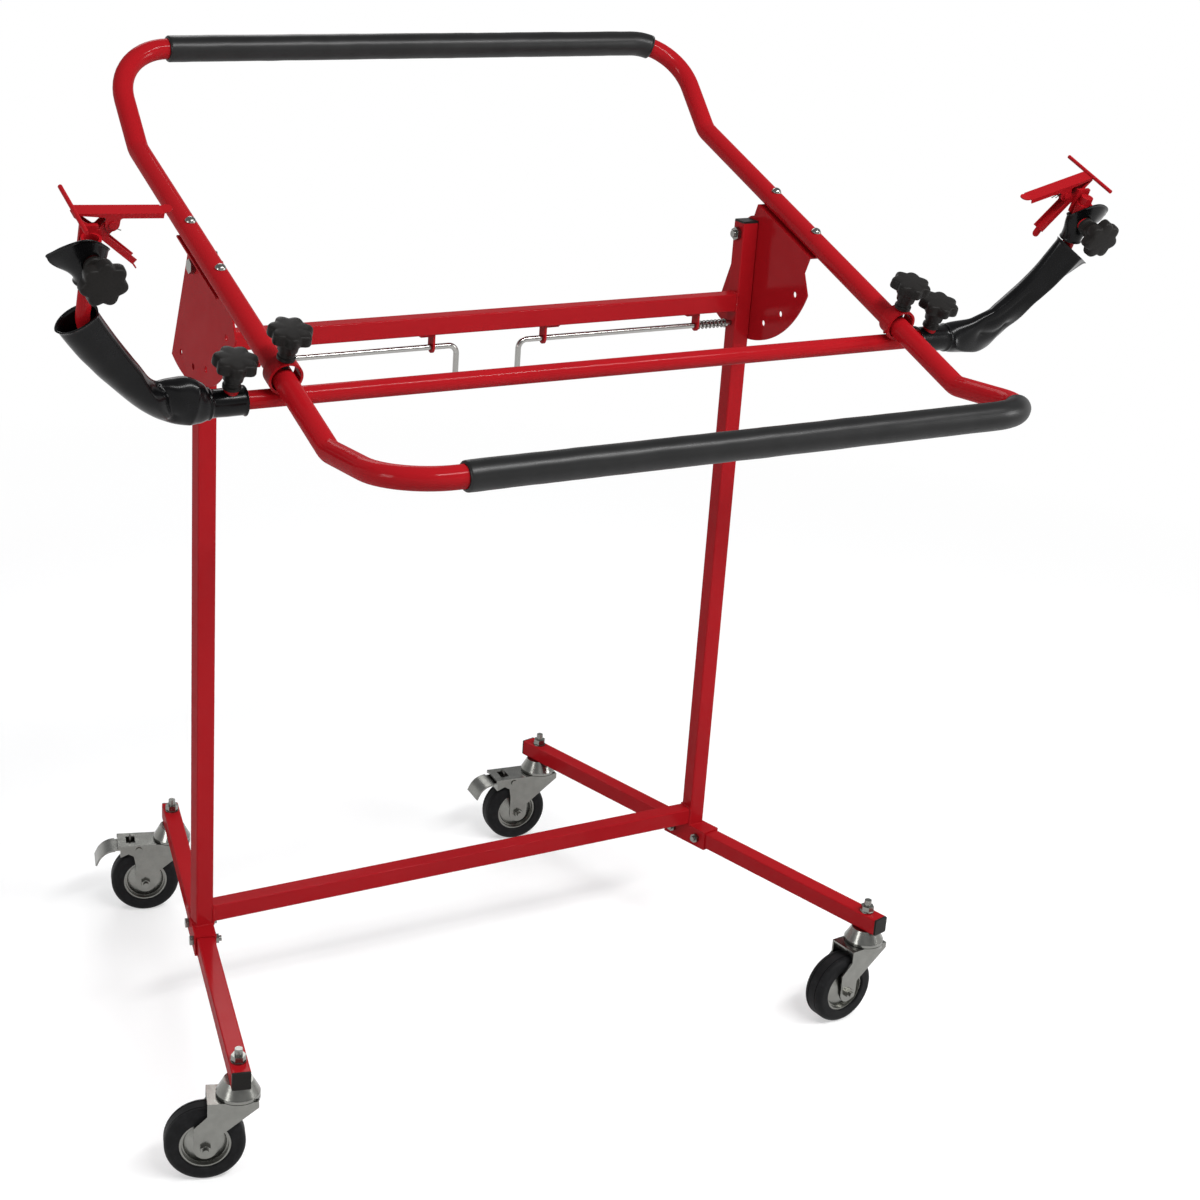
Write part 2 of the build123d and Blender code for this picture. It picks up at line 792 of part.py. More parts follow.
for name, side in sides.items():
    plate_side = head_side(side * plate_inner_face)
    with BuildPart() as tilt_plate:
        with BuildSketch(plate_side):
            with BuildLine():
                Polyline(
                    polar(plate_round, plate_neck_angle),
                    (flange_back, flange_rise),
                    (flange_front, flange_rise),
                    (relief_along, relief_rise),
                    polar(plate_radius, plate_front_angle),
                )
                ThreePointArc(
                    polar(plate_radius, plate_front_angle),
                    polar(plate_radius, (plate_front_angle + plate_back_angle) / 2),
                    polar(plate_radius, plate_back_angle),
                )
                Line(polar(plate_radius, plate_back_angle), polar(plate_round, back_tangent))
                ThreePointArc(
                    polar(plate_round, back_tangent),
                    polar(plate_round, (back_tangent + 2 * pi + plate_neck_angle) / 2),
                    polar(plate_round, plate_neck_angle),
                )
            make_face()
            Circle(pivot_bolt[0] / 2 + running_gap, mode=Mode.SUBTRACT)
            index_angles = [index * index_step - pi / 2 for index in range(index_count)]
            with Locations([polar(index_radius, angle) for angle in index_angles]):
                Circle(pin_diameter / 2 + index_gap, mode=Mode.SUBTRACT)
        extrude(amount=-side * plate_sheet)
        with BuildSketch(head_floor(flange_rise - plate_sheet)):
            flange_middle = side * (plate_inner_face + flange_width / 2)
            with Locations((flange_middle, -(flange_back + flange_front) / 2)):
                Rectangle(flange_width, flange_front - flange_back)
            with Locations([(side * bow_place, -place) for place in frame_bolt_places]):
                Circle(small_bolt[0] / 2 + bolt_gap, mode=Mode.SUBTRACT)
        extrude(amount=plate_sheet)
    save(tilt_plate.part, f"{name}_tilt_plate")


# Bows, their bolts and the foam grips

def bow_points(end, shape):
    """The corners of a bow's centre line, from its left open end round to its right one."""
    kink, run, rise = shape[:3]
    half = [(end, 0.0), (kink, 0.0), (kink + run, rise)]
    left_side = [head_point(-bow_place, along, bow_rise + up) for along, up in half]
    right_side = [head_point(bow_place, along, bow_rise + up) for along, up in half]
    return left_side + right_side[::-1]


def make_bow(end, shape, spigots):
    """A tube bent to a bow, with bolt holes in its sides and, if wanted, spigots on its ends."""
    corner = shape[3]
    points = bow_points(end, shape)
    tangent = (points[1] - points[0]).normalized()
    with BuildPart() as bow:
        with BuildLine():
            FilletPolyline(*points, radius=(kink_radius, corner, corner, kink_radius))
        with BuildSketch(Plane(origin=points[0], x_dir=across, z_dir=tangent)):
            tube_profile(bow_diameter, bow_wall)
        sweep()
        for side in sides.values():
            if spigots:
                spigot_back = head_point(side * bow_place, end - spigot_length, bow_rise)
                with BuildSketch(Plane(origin=spigot_back, x_dir=across, z_dir=forward)):
                    tube_profile(bow_diameter - 2 * bow_wall - 2 * spigot_gap, spigot_wall)
                extrude(amount=spigot_length)
                bow_end = head_point(side * bow_place, end, bow_rise)
                with BuildSketch(Plane(origin=bow_end, x_dir=across, z_dir=forward)):
                    tube_profile(bow_diameter, bow_wall + spigot_gap + spigot_wall)
                extrude(amount=bow_wall)
            with BuildSketch(head_floor(0)):
                with Locations([(side * bow_place, -place) for place in frame_bolt_places]):
                    Circle(small_bolt[0] / 2 + bolt_gap)
            extrude(amount=bow_rise + bow_diameter, mode=Mode.SUBTRACT)
    return bow.part


save(make_bow(bow_seam, upper_bow_shape, False), "upper_bow")
save(make_bow(bow_seam + spigot_gap, lower_bow_shape, True), "lower_bow")


def make_bow_bolt(side, place):
    """A dome-headed bolt through a bow's side and the plate's flange, with its nut below."""
    diameter, flats, head = small_bolt
    top = bow_rise + bow_diameter / 2
    nut_top = flange_rise - plate_sheet
    foot = Plane(origin=head_point(side * bow_place, place, 0), x_dir=across, z_dir=lift)
    with BuildPart() as bolt:
        with BuildSketch(section_of(foot)):
            with BuildLine():
                Polyline(
                    (0, nut_top - head - thread_end),
                    (diameter / 2, nut_top - head - thread_end),
                    (diameter / 2, top),
                    (dome_diameter / 2, top),
                )
                TangentArc((0, top + dome_height), (dome_diameter / 2, top), tangent=(1, 0))
                Line((0, top + dome_height), (0, nut_top - head - thread_end))
            make_face()
        revolve(axis=axis_of(foot))
    with BuildPart() as nut:
        with BuildSketch(foot.offset(nut_top - head)):
            RegularPolygon(flats / 2, 6, major_radius=False)
            Circle(diameter / 2 + thread_gap, mode=Mode.SUBTRACT)
        extrude(amount=head)
    return [bolt.part, nut.part]


bolts = []
for side in sides.values():
    for place in frame_bolt_places:
        bolts += make_bow_bolt(side, place)
with BuildPart() as bow_bolts:
    add(bolts)
save(bow_bolts.part, "bow_bolts")


def make_grip(shape, start, wrap):
    """A foam sleeve on a bow's bar, from start to the right and partly round the corner."""
    kink, run, rise, corner = shape
    bar_along = kink + run
    bar_rise = bow_rise + rise
    side_run = (head_point(0, -run, -rise) - head_point(0, 0, 0)).normalized()
    bend_start = head_point(bow_place - corner, bar_along, bar_rise)
    bend_end = bend_start + across * (corner * sin(wrap)) + side_run * (corner * (1 - cos(wrap)))
    grip_start = head_point(start, bar_along, bar_rise)
    with BuildPart() as grip:
        with BuildLine():
            Line(grip_start, bend_start)
            TangentArc(bend_start, bend_end, tangent=across)
        with BuildSketch(Plane(origin=grip_start, x_dir=lift, z_dir=across)):
            Circle(grip_diameter / 2)
            Circle(bow_diameter / 2 + grip_gap, mode=Mode.SUBTRACT)
        sweep()
    return grip.part


save(make_grip(upper_bow_shape, upper_grip_left, upper_grip_wrap), "upper_grip")
save(make_grip(lower_bow_shape, lower_grip_left, lower_grip_wrap), "lower_grip")


# Coil springs

def coil_point(base, radius, pitch, turn):
    """A point of a coil that winds round a plane's normal, after some turns."""
    angle = 2 * pi * turn
    return base.from_local_coords((radius * cos(angle), radius * sin(angle), pitch * turn))


def coil_direction(base, radius, pitch, turn):
    """The direction of the coil's wire after some turns."""
    angle = 2 * pi * turn
    tip = (-radius * sin(angle) * 2 * pi, radius * cos(angle) * 2 * pi, pitch)
    return (base.from_local_coords(tip) - base.origin).normalized()


def biarc(start, start_direction, end, end_direction):
    """Two arcs that leave start and reach end in the given directions."""
    chord = end - start
    square = 2 * (1 - start_direction.dot(end_direction))
    slope = 2 * chord.dot(start_direction + end_direction)
    reach = (sqrt(slope**2 + 4 * square * chord.dot(chord)) - slope) / (2 * square)
    first = start + start_direction * reach
    last = end - end_direction * reach
    middle = (first + last) * 0.5
    TangentArc(start, middle, tangent=start_direction)
    TangentArc(middle, end, tangent=(last - first).normalized())


def least_gap(base, radius, pitch, turns, wire):
    """The least gap of a coil to its own next turns, measured on points."""
    samples = 24
    steps = round(turns * samples)
    points = [coil_point(base, radius, pitch, step / samples) for step in range(steps + 1)]
    far = samples // 2
    gaps = [
        (points[later] - points[early]).length
        for early in range(len(points))
        for later in range(early + far, len(points))
    ]
    return min(gaps) - wire


def make_coil(base, radius, pitch, turns, wire, leg):
    """One unbroken wire wound round a plane's normal, with straight legs of a given length."""
    steps = round(turns * steps_per_turn)
    stations = [step / steps_per_turn for step in range(steps + 1)]
    points = [coil_point(base, radius, pitch, turn) for turn in stations]
    directions = [coil_direction(base, radius, pitch, turn) for turn in stations]
    start = points[0] - directions[0] * leg
    with BuildPart() as coil:
        with BuildLine():
            if leg:
                Line(start, points[0])
            for step in range(steps):
                biarc(points[step], directions[step], points[step + 1], directions[step + 1])
            if leg:
                Line(points[-1], points[-1] + directions[-1] * leg)
        with BuildSketch(Plane(origin=start, z_dir=directions[0])):
            Circle(wire / 2)
        sweep()
    return coil.part


# Lock pins, their guides and springs

spring_start = guide_places[1] + guide_sheet / 2 + lock_spring_wire / 2 + lock_spring_seat
collar_outer_face = upright_inner_face - pin_travel - pin_collar_stop
collar_inner_face = collar_outer_face - pin_collar_width
spring_end = collar_inner_face - lock_spring_wire / 2 - lock_spring_seat
lock_spring_pitch = (spring_end - spring_start) / lock_spring_turns

with BuildPart() as pin_guides:
    for side in sides.values():
        for place, foot_side in zip(guide_places, (side, -side)):
            tab = Plane(origin=(side * place, 0, pin_height), x_dir=(0, 1, 0), z_dir=across)
            bar_underside = upper_bar_top - tube_side
            tab_length = bar_underside - pin_height
            with BuildSketch(tab):
                Circle(guide_width / 2)
                with Locations((0, tab_length / 2)):
                    Rectangle(guide_width, tab_length)
                Circle(pin_diameter / 2 + running_gap, mode=Mode.SUBTRACT)
            extrude(amount=guide_sheet / 2, both=True)
            foot = Plane(origin=(side * place + foot_side * guide_foot / 2, 0, bar_underside))
            with BuildSketch(foot):
                Rectangle(guide_foot, guide_width)
            extrude(amount=-guide_sheet)
save(pin_guides.part, "pin_guides")

for name, side in sides.items():
    outwards = across * side
    with BuildPart() as lock_pin:
        with BuildLine():
            FilletPolyline(
                (side * upright_outer_face, 0, pin_height),
                (side * pin_handle_place, 0, pin_height),
                (side * pin_handle_place, 0, pin_height - pin_handle_length),
                radius=pin_bend,
            )
        pin_tip = Plane(origin=(side * upright_outer_face, 0, pin_height), z_dir=outwards * -1)
        with BuildSketch(pin_tip):
            Circle(pin_diameter / 2)
        sweep()
        with BuildSketch(Plane(origin=(side * collar_inner_face, 0, pin_height), z_dir=outwards)):
            Circle(pin_collar_diameter / 2)
        extrude(amount=pin_collar_width)
    save(lock_pin.part, f"{name}_lock_pin")
    coil_base = Plane(origin=(side * spring_start, 0, pin_height), x_dir=upwards, z_dir=outwards)
    lock_spring = (lock_spring_radius, lock_spring_pitch, lock_spring_turns, lock_spring_wire)
    save(make_coil(coil_base, *lock_spring, 0), f"{name}_lock_spring")
    spring_gap = round(least_gap(coil_base, *lock_spring), 2)
    print(f"{name} lock spring, least gap to itself: {spring_gap} mm")


# Carriage

with BuildPart() as cross_tube:
    with BuildSketch(Plane(origin=head_point(0, cross_along, cross_rise), z_dir=across)):
        tube_profile(cross_diameter, cross_wall)
    extrude(amount=cross_half_length, both=True)
save(cross_tube.part, "cross_tube")

with BuildPart() as slide_collars:
    for side in sides.values():
        collar_middle = head_point(side * bow_place, cross_along, collar_rise)
        with BuildSketch(Plane(origin=collar_middle, x_dir=across, z_dir=forward)):
            tube_profile(collar_outside, collar_wall)
        extrude(amount=collar_length / 2, both=True)
        with BuildSketch(Plane(origin=collar_middle, x_dir=across, z_dir=lift)):
            Circle(stud_diameter / 2 + running_gap)
        extrude(amount=collar_outside, mode=Mode.SUBTRACT)
save(slide_collars.part, "slide_collars")


# Star knobs

def make_knob(foot, stud_length):
    """A star knob on a foot plane, with its threaded stud behind the plane."""
    head_bottom = knob_height - knob_head
    with BuildPart() as knob:
        with BuildSketch(foot.offset(head_bottom)):
            Circle(knob_core_radius)
            with PolarLocations(knob_lobe_circle, knob_lobes):
                Circle(knob_lobe_radius)
        extrude(amount=knob_head - knob_edge)
        with BuildSketch(foot.offset(knob_height - knob_edge)):
            Circle(knob_core_radius)
            with PolarLocations(knob_lobe_circle, knob_lobes):
                Circle(knob_lobe_radius)
        extrude(amount=knob_edge, taper=knob_edge_slope)
        with BuildSketch(section_of(foot)):
            with BuildLine():
                Polyline(
                    (0, -stud_length),
                    (stud_diameter / 2, -stud_length),
                    (stud_diameter / 2, 0),
                    (knob_foot_radius, 0),
                    (knob_foot_radius, knob_foot_height),
                    (knob_hub_waist, knob_foot_height * 2),
                    (knob_hub_top, head_bottom),
                    (0, head_bottom),
                    close=True,
                )
            make_face()
        revolve(axis=axis_of(foot))
    return knob.part


bow_top_rise = bow_rise + bow_diameter / 2
slide_knob_rise = collar_rise + collar_outside / 2 + knob_lift
cross_top_rise = cross_rise + cross_diameter / 2
arm_boss_top = cross_rise + arm_socket_outside / 2 + arm_boss_height
arm_knob_rise = arm_boss_top + knob_lift
clamp_boss_along = cross_along + clamp_socket_outside / 2 + clamp_boss_height
clamp_knob_along = clamp_boss_along + knob_lift
post_front_along = cross_along + post_diameter / 2

for name, side in sides.items():
    knob_point = head_point(side * bow_place, cross_along, slide_knob_rise)
    foot = Plane(origin=knob_point, x_dir=across, z_dir=lift)
    save(make_knob(foot, slide_knob_rise - bow_top_rise - sliding_gap), f"{name}_slide_knob")
    knob_point = head_point(side * arm_knob_place, cross_along, arm_knob_rise)
    foot = Plane(origin=knob_point, x_dir=across, z_dir=lift)
    save(make_knob(foot, arm_knob_rise - cross_top_rise - sliding_gap), f"{name}_arm_knob")
    boss_rise = clamp_boss_rise + clamp_lift[name]
    knob_point = head_point(side * post_place, clamp_knob_along, boss_rise)
    foot = Plane(origin=knob_point, x_dir=across, z_dir=forward)
    save(make_knob(foot, clamp_knob_along - post_front_along - sliding_gap), f"{name}_clamp_knob")


# Arms and their rubber covers

def make_arm(side):
    """A socket on the cross tube with the knob's boss and the bent rod that ends in the post."""
    inner_end = head_point(side * arm_inner, cross_along, cross_rise)
    socket_plane = Plane(origin=inner_end, x_dir=lift, z_dir=across * side)
    boss_foot = head_point(side * arm_knob_place, cross_along, cross_rise)
    boss_plane = Plane(origin=boss_foot, x_dir=across, z_dir=lift)
    rod_points = [
        (arm_socket_outer - arm_socket_plug, cross_rise),
        (arm_elbow, cross_rise),
        (post_place, arm_shoulder_rise),
        (post_place, post_top_rise),
    ]
    rod_corners = [head_point(side * out, cross_along, rise) for out, rise in rod_points]
    with BuildPart() as arm:
        with BuildSketch(socket_plane):
            Circle(arm_socket_outside / 2)
        extrude(amount=arm_socket_outer - arm_inner)
        with BuildSketch(boss_plane):
            Circle(arm_boss_diameter / 2)
        extrude(amount=arm_boss_top - cross_rise)
        with BuildSketch(socket_plane):
            Circle(arm_socket_inside / 2)
        extrude(amount=arm_socket_outer - arm_inner - arm_socket_plug, mode=Mode.SUBTRACT)
        with BuildSketch(boss_plane):
            Circle(stud_diameter / 2 + running_gap)
        extrude(amount=arm_boss_top - cross_rise, mode=Mode.SUBTRACT)
        with BuildLine():
            FilletPolyline(*rod_corners, radius=arm_bend)
        with BuildSketch(Plane(origin=rod_corners[0], x_dir=lift, z_dir=across * side)):
            Circle(post_diameter / 2)
        sweep()
    return arm.part


def cover_section(side, station):
    """The plane of one cross-section of an arm cover."""
    out, rise, half_width, half_depth, lean = station
    run = across * (side * cos(radians(lean))) + lift * sin(radians(lean))
    up = lift * cos(radians(lean)) - across * (side * sin(radians(lean)))
    middle = head_point(side * (cross_half_length + out), cross_along, rise)
    return Plane(origin=middle, x_dir=up, z_dir=run)


def make_arm_cover(side, stations):
    """A rubber sleeve lofted through its cross-sections, open at both ends, with a boss hole."""
    boss_foot = head_point(side * arm_knob_place, cross_along, cross_rise)
    with BuildPart() as cover:
        for station in stations:
            with BuildSketch(cover_section(side, station)):
                Ellipse(station[2], station[3])
        loft(ruled=True)
        for station in stations:
            with BuildSketch(cover_section(side, station)):
                Ellipse(station[2] - cover_wall, station[3] - cover_wall)
        loft(ruled=True, mode=Mode.SUBTRACT)
        with BuildSketch(Plane(origin=boss_foot, x_dir=across, z_dir=lift)):
            Circle(arm_boss_diameter / 2 + sliding_gap)
        extrude(amount=arm_socket_outside, mode=Mode.SUBTRACT)
    return cover.part


for name, side in sides.items():
    save(make_arm(side), f"{name}_arm")
    save(make_arm_cover(side, cover_stations[name]), f"{name}_arm_cover")


# Spring clamps

def clamp_spot(name, point):
    """A clamp point in the jaws' plane, turned about the rivet and lifted as on its side."""
    turn = clamp_turn[name]
    out = point[0] - clamp_rivet[0]
    rise = point[1] - clamp_rivet[1]
    return Vector(
        post_place + clamp_rivet[0] + out * cos(turn) - rise * sin(turn),
        clamp_rivet[1] + out * sin(turn) + rise * cos(turn) + clamp_lift[name],
    )


def make_jaw(plane, tip, nose, rivet, toward, width, depth, ear):
    """A stamped lever: a web from tip to nose, side walls towards the other lever, ears and a bent tongue."""
    run = (nose - tip).normalized()
    inward = Vector(-run.Y, run.X) * toward
    rivet_run = (rivet - tip).dot(run)
    rivet_depth = (rivet - tip).dot(inward)
    neck = tip + run * (rivet_run + ear)
    ear_back = tip + run * (rivet_run - ear)
    beyond = run * width
    clear = inward * (rivet_depth + 2 * ear)
    back_corner = ear_back + inward * depth
    front_corner = neck + inward * neck_depth
    tongue_run = run * -cos(tongue_bend) - inward * sin(tongue_bend)
    tongue_lift = inward * cos(tongue_bend) - run * sin(tongue_bend)
    tongue_plane = Plane(
        origin=plane.from_local_coords(tip),
        x_dir=plane.x_dir * tongue_run.X + plane.y_dir * tongue_run.Y,
        z_dir=plane.x_dir * tongue_lift.X + plane.y_dir * tongue_lift.Y,
    )
    tongue_round = width / 2 - tongue_inset
    tongue_straight = tongue_length - tongue_round
    with BuildPart() as jaw:
        with BuildSketch(plane) as outline:
            with BuildLine():
                Polyline(
                    tip,
                    nose,
                    nose + inward * nose_depth,
                    front_corner,
                    neck + inward * rivet_depth,
                    ear_back + inward * rivet_depth,
                    back_corner,
                    tip + inward * depth,
                    close=True,
                )
            make_face()
            corners = outline.vertices()
            ear_corners = [corners.sort_by_distance(place)[0] for place in (back_corner, front_corner)]
            fillet(ear_corners, ear_round)
            with Locations(rivet):
                Circle(ear)
        extrude(amount=width / 2, both=True)
        with BuildSketch(plane):
            with BuildLine():
                Polyline(
                    tip - beyond + inward * jaw_sheet,
                    nose + beyond + inward * jaw_sheet,
                    nose + beyond + clear,
                    tip - beyond + clear,
                    close=True,
                )
            make_face()
        extrude(amount=width / 2 - jaw_sheet, both=True, mode=Mode.SUBTRACT)
        with BuildSketch(plane):
            with Locations(rivet):
                Circle(jaw_rivet_diameter / 2 + running_gap)
        extrude(amount=width, both=True, mode=Mode.SUBTRACT)
        with BuildSketch(tongue_plane):
            with Locations(((tongue_straight - tongue_root) / 2, 0)):
                Rectangle(tongue_straight + tongue_root, 2 * tongue_round)
            with Locations((tongue_straight, 0)):
                Circle(tongue_round)
        extrude(amount=jaw_sheet)
    return jaw.part


def make_jaw_rivet(plane, rivet):
    """The rivet that the jaws turn on, with a head outside each ear of the moving jaw."""
    seat = moving_width / 2 + sliding_gap
    with BuildPart() as pin:
        with BuildSketch(plane):
            with Locations(rivet):
                Circle(jaw_rivet_diameter / 2)
        extrude(amount=seat + jaw_rivet_head, both=True)
        for end in (front, rear):
            with BuildSketch(plane.offset(end * seat)):
                with Locations(rivet):
                    Circle(jaw_rivet_head_diameter / 2)
            extrude(amount=end * jaw_rivet_head)
    return pin.part


def make_clamp_socket(name, side, plate_top):
    """The socket on the arm's post with the knob's boss and the plate that the jaw is welded to."""
    raise_by = clamp_lift[name]
    bottom = head_point(side * post_place, cross_along, clamp_socket_bottom + raise_by)
    boss_foot = head_point(side * post_place, cross_along, clamp_boss_rise + raise_by)
    post = Plane(origin=bottom, x_dir=across, z_dir=lift)
    boss = Plane(origin=boss_foot, x_dir=across, z_dir=forward)
    jaw_face = clamp_along + fixed_width / 2
    plate_depth = cross_along - clamp_socket_inside / 2 - clamp_socket_wall / 4 - jaw_face
    height = clamp_socket_top - clamp_socket_bottom
    plate_height = plate_top - weld_plate_bottom - raise_by
    with BuildPart() as socket:
        with BuildSketch(post):
            Circle(clamp_socket_outside / 2)
        extrude(amount=height)
        with BuildSketch(boss):
            Circle(arm_boss_diameter / 2)
        extrude(amount=clamp_boss_along - cross_along)
        with BuildSketch(arm_plane(side, jaw_face)):
            with Locations((post_place, plate_top - plate_height / 2)):
                Rectangle(2 * weld_plate_half, plate_height)
        extrude(amount=side * plate_depth)
        with BuildSketch(post):
            Circle(clamp_socket_inside / 2)
        extrude(amount=height, mode=Mode.SUBTRACT)
        with BuildSketch(boss):
            Circle(stud_diameter / 2 + running_gap)
        extrude(amount=clamp_boss_along - cross_along, mode=Mode.SUBTRACT)
    return socket.part


def make_clamp_cover(name, side):
    """A flared rubber sleeve round the clamp's socket, cut for the boss and the welded plate."""
    raise_by = clamp_lift[name]
    boss_foot = head_point(side * post_place, cross_along, clamp_boss_rise + raise_by)
    slot_foot = weld_plate_bottom + raise_by - sliding_gap
    with BuildPart() as cover:
        for wall, how in ((0.0, Mode.ADD), (clamp_cover_wall, Mode.SUBTRACT)):
            for rise, shift, half_width, half_depth in clamp_cover_stations:
                with BuildSketch(head_floor(rise + raise_by)):
                    with Locations((side * (post_place + shift), -cross_along)):
                        Ellipse(half_width - wall, half_depth - wall)
            loft(mode=how)
        with BuildSketch(Plane(origin=boss_foot, x_dir=across, z_dir=forward)):
            Circle(arm_boss_diameter / 2 + sliding_gap)
        extrude(amount=clamp_socket_outside, mode=Mode.SUBTRACT)
        with BuildSketch(head_floor(slot_foot)):
            with Locations((side * post_place, -cross_along + clamp_socket_outside)):
                Rectangle(2 * (weld_plate_half + sliding_gap), 2 * clamp_socket_outside)
        extrude(amount=clamp_socket_top, mode=Mode.SUBTRACT)
    return cover.part


for name, side in sides.items():
    clamp_plane = arm_plane(side, clamp_along)
    rivet = clamp_spot(name, clamp_rivet)
    nose = clamp_spot(name, clamp_nose)
    tip = clamp_spot(name, moving_tip)
    fixed_end = clamp_spot(name, fixed_tip)
    fixed_head = clamp_spot(name, fixed_nose)
    fixed_slope = (fixed_head.Y - fixed_end.Y) / (fixed_head.X - fixed_end.X)
    plate_top = fixed_head.Y - (fixed_head.X - post_place) * fixed_slope + weld_overlap
    fixed_sizes = (fixed_width, fixed_depth, fixed_ear)
    fixed_jaw = make_jaw(clamp_plane, fixed_end, fixed_head, rivet, 1, *fixed_sizes)
    socket = make_clamp_socket(name, side, plate_top)
    rivet_pin = make_jaw_rivet(clamp_plane, rivet)
    with BuildPart() as clamp_body:
        add(fixed_jaw)
        add(socket)
        add(rivet_pin)
    save(clamp_body.part, f"{name}_clamp_body")

    moving_sizes = (moving_width, moving_depth, moving_ear)
    lever = make_jaw(clamp_plane, tip, nose, rivet, -1, *moving_sizes)
    rod_middle = head_point(side * nose.X, clamp_along, nose.Y)
    with BuildPart() as moving_jaw:
        add(lever)
        with BuildSketch(Plane(origin=rod_middle, x_dir=across, z_dir=forward)):
            Circle(cross_rod_diameter / 2)
        extrude(amount=cross_rod_length / 2, both=True)
    save(moving_jaw.part, f"{name}_moving_jaw")

    handle_sum = (nose - tip).normalized() + (fixed_head - fixed_end).normalized()
    handle_run = handle_sum.normalized()
    leg_run = across * (side * handle_run.X) + lift * handle_run.Y
    coil_back = clamp_along - jaw_spring_pitch * jaw_spring_turns / 2
    coil_base = Plane(
        origin=head_point(side * rivet.X, coil_back, rivet.Y),
        x_dir=leg_run.cross(forward),
        z_dir=forward,
    )
    jaw_spring = (jaw_spring_radius, jaw_spring_pitch, jaw_spring_turns, jaw_spring_wire)
    save(make_coil(coil_base, *jaw_spring, jaw_spring_leg), f"{name}_jaw_spring")
    spring_gap = round(least_gap(coil_base, *jaw_spring), 2)
    print(f"{name} jaw spring, least gap to itself: {spring_gap} mm")
    save(make_clamp_cover(name, side), f"{name}_clamp_cover")
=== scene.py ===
"""Bumper stand: finishes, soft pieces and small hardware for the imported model."""

import json
import math

import bmesh
import bpy
from bpy.props import FloatProperty, FloatVectorProperty, IntProperty, PointerProperty
from bpy.types import Operator, Panel, PropertyGroup
from mathutils import Matrix, Vector, noise


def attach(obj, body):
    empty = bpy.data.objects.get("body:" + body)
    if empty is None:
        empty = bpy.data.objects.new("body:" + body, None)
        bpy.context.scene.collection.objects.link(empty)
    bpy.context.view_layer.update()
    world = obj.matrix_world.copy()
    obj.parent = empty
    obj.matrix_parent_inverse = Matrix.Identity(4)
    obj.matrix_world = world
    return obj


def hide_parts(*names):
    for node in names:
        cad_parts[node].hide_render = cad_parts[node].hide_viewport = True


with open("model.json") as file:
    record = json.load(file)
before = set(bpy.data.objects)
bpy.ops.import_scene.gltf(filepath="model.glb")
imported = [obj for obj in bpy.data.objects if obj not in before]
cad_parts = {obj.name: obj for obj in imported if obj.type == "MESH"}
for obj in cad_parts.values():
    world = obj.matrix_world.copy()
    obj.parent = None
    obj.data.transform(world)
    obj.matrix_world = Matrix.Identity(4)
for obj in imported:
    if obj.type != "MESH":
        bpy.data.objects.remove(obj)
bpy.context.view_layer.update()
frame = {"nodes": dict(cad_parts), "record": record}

bl_info = {
    "name": "Bumper stand",
    "version": (1, 0, 0),
    "blender": (4, 5, 0),
    "location": "View3D > Sidebar > Bumper stand",
    "description": "Finishes, covers, grips, knobs, welds and threads of a wheeled bumper stand",
    "category": "Object",
}

sides = {"left": -1.0, "right": 1.0}
across = Vector((1.0, 0.0, 0.0))


# Places on the base, in metres

backwards = Vector((0.0, 1.0, 0.0))
upwards = Vector((0.0, 0.0, 1.0))
tube_half = 0.0125
upright_place = 0.41
upright_inside = 0.3975
crossbar_middles = (1.0035, 0.1815)
crossbar_underside = 0.991
sleeve_middle = 0.1515
sleeve_half = 0.015
sleeve_top = 0.1665
leg_splay = math.radians(13.5)


# Places on the tilting head, in metres

tilt = math.radians(20.0)
forward = Vector((0.0, -math.cos(tilt), -math.sin(tilt)))
lift = Vector((0.0, -math.sin(tilt), math.cos(tilt)))
pivot = Vector((0.0, 0.0, 1.102))
bow_place = 0.439
bow_radius = 0.0135
cross_along = 0.321
post_place = 0.685
clamp_boss_rise = 0.216
clamp_lift = {"left": 0.014, "right": -0.014}


def head_point(x, along, rise):
    """A point of the head from its place across, along and above the pivot."""
    return pivot + across * x + forward * along + lift * rise


# Settings that a user would change


class StandColours(PropertyGroup):
    """Colours of the stand's finishes."""

    paint: FloatVectorProperty(
        name="Powder coat", description="Colour of the painted steel",
        subtype="COLOR", size=3, min=0.0, max=1.0, default=(0.345, 0.0075, 0.0115),
    )
    zinc: FloatVectorProperty(
        name="Zinc plate", description="Colour of the casters, bolts and nuts",
        subtype="COLOR", size=3, min=0.0, max=1.0, default=(0.215, 0.215, 0.2),
    )
    bright: FloatVectorProperty(
        name="Bright steel", description="Colour of the lock pins",
        subtype="COLOR", size=3, min=0.0, max=1.0, default=(0.36, 0.355, 0.34),
    )
    spring: FloatVectorProperty(
        name="Spring steel", description="Colour of the coil springs",
        subtype="COLOR", size=3, min=0.0, max=1.0, default=(0.16, 0.15, 0.14),
    )
    plastic: FloatVectorProperty(
        name="Moulded plastic", description="Colour of the knobs and end caps",
        subtype="COLOR", size=3, min=0.0, max=1.0, default=(0.0115, 0.0105, 0.0098),
    )
    rubber: FloatVectorProperty(
        name="Cover rubber", description="Colour of the arm and clamp covers",
        subtype="COLOR", size=3, min=0.0, max=1.0, default=(0.0032, 0.0032, 0.0035),
    )
    foam: FloatVectorProperty(
        name="Grip foam", description="Colour of the foam on the bows",
        subtype="COLOR", size=3, min=0.0, max=1.0, default=(0.0085, 0.0085, 0.0086),
    )
    tyre: FloatVectorProperty(
        name="Tyre rubber", description="Colour of the caster tyres",
        subtype="COLOR", size=3, min=0.0, max=1.0, default=(0.0075, 0.0075, 0.0080),
    )


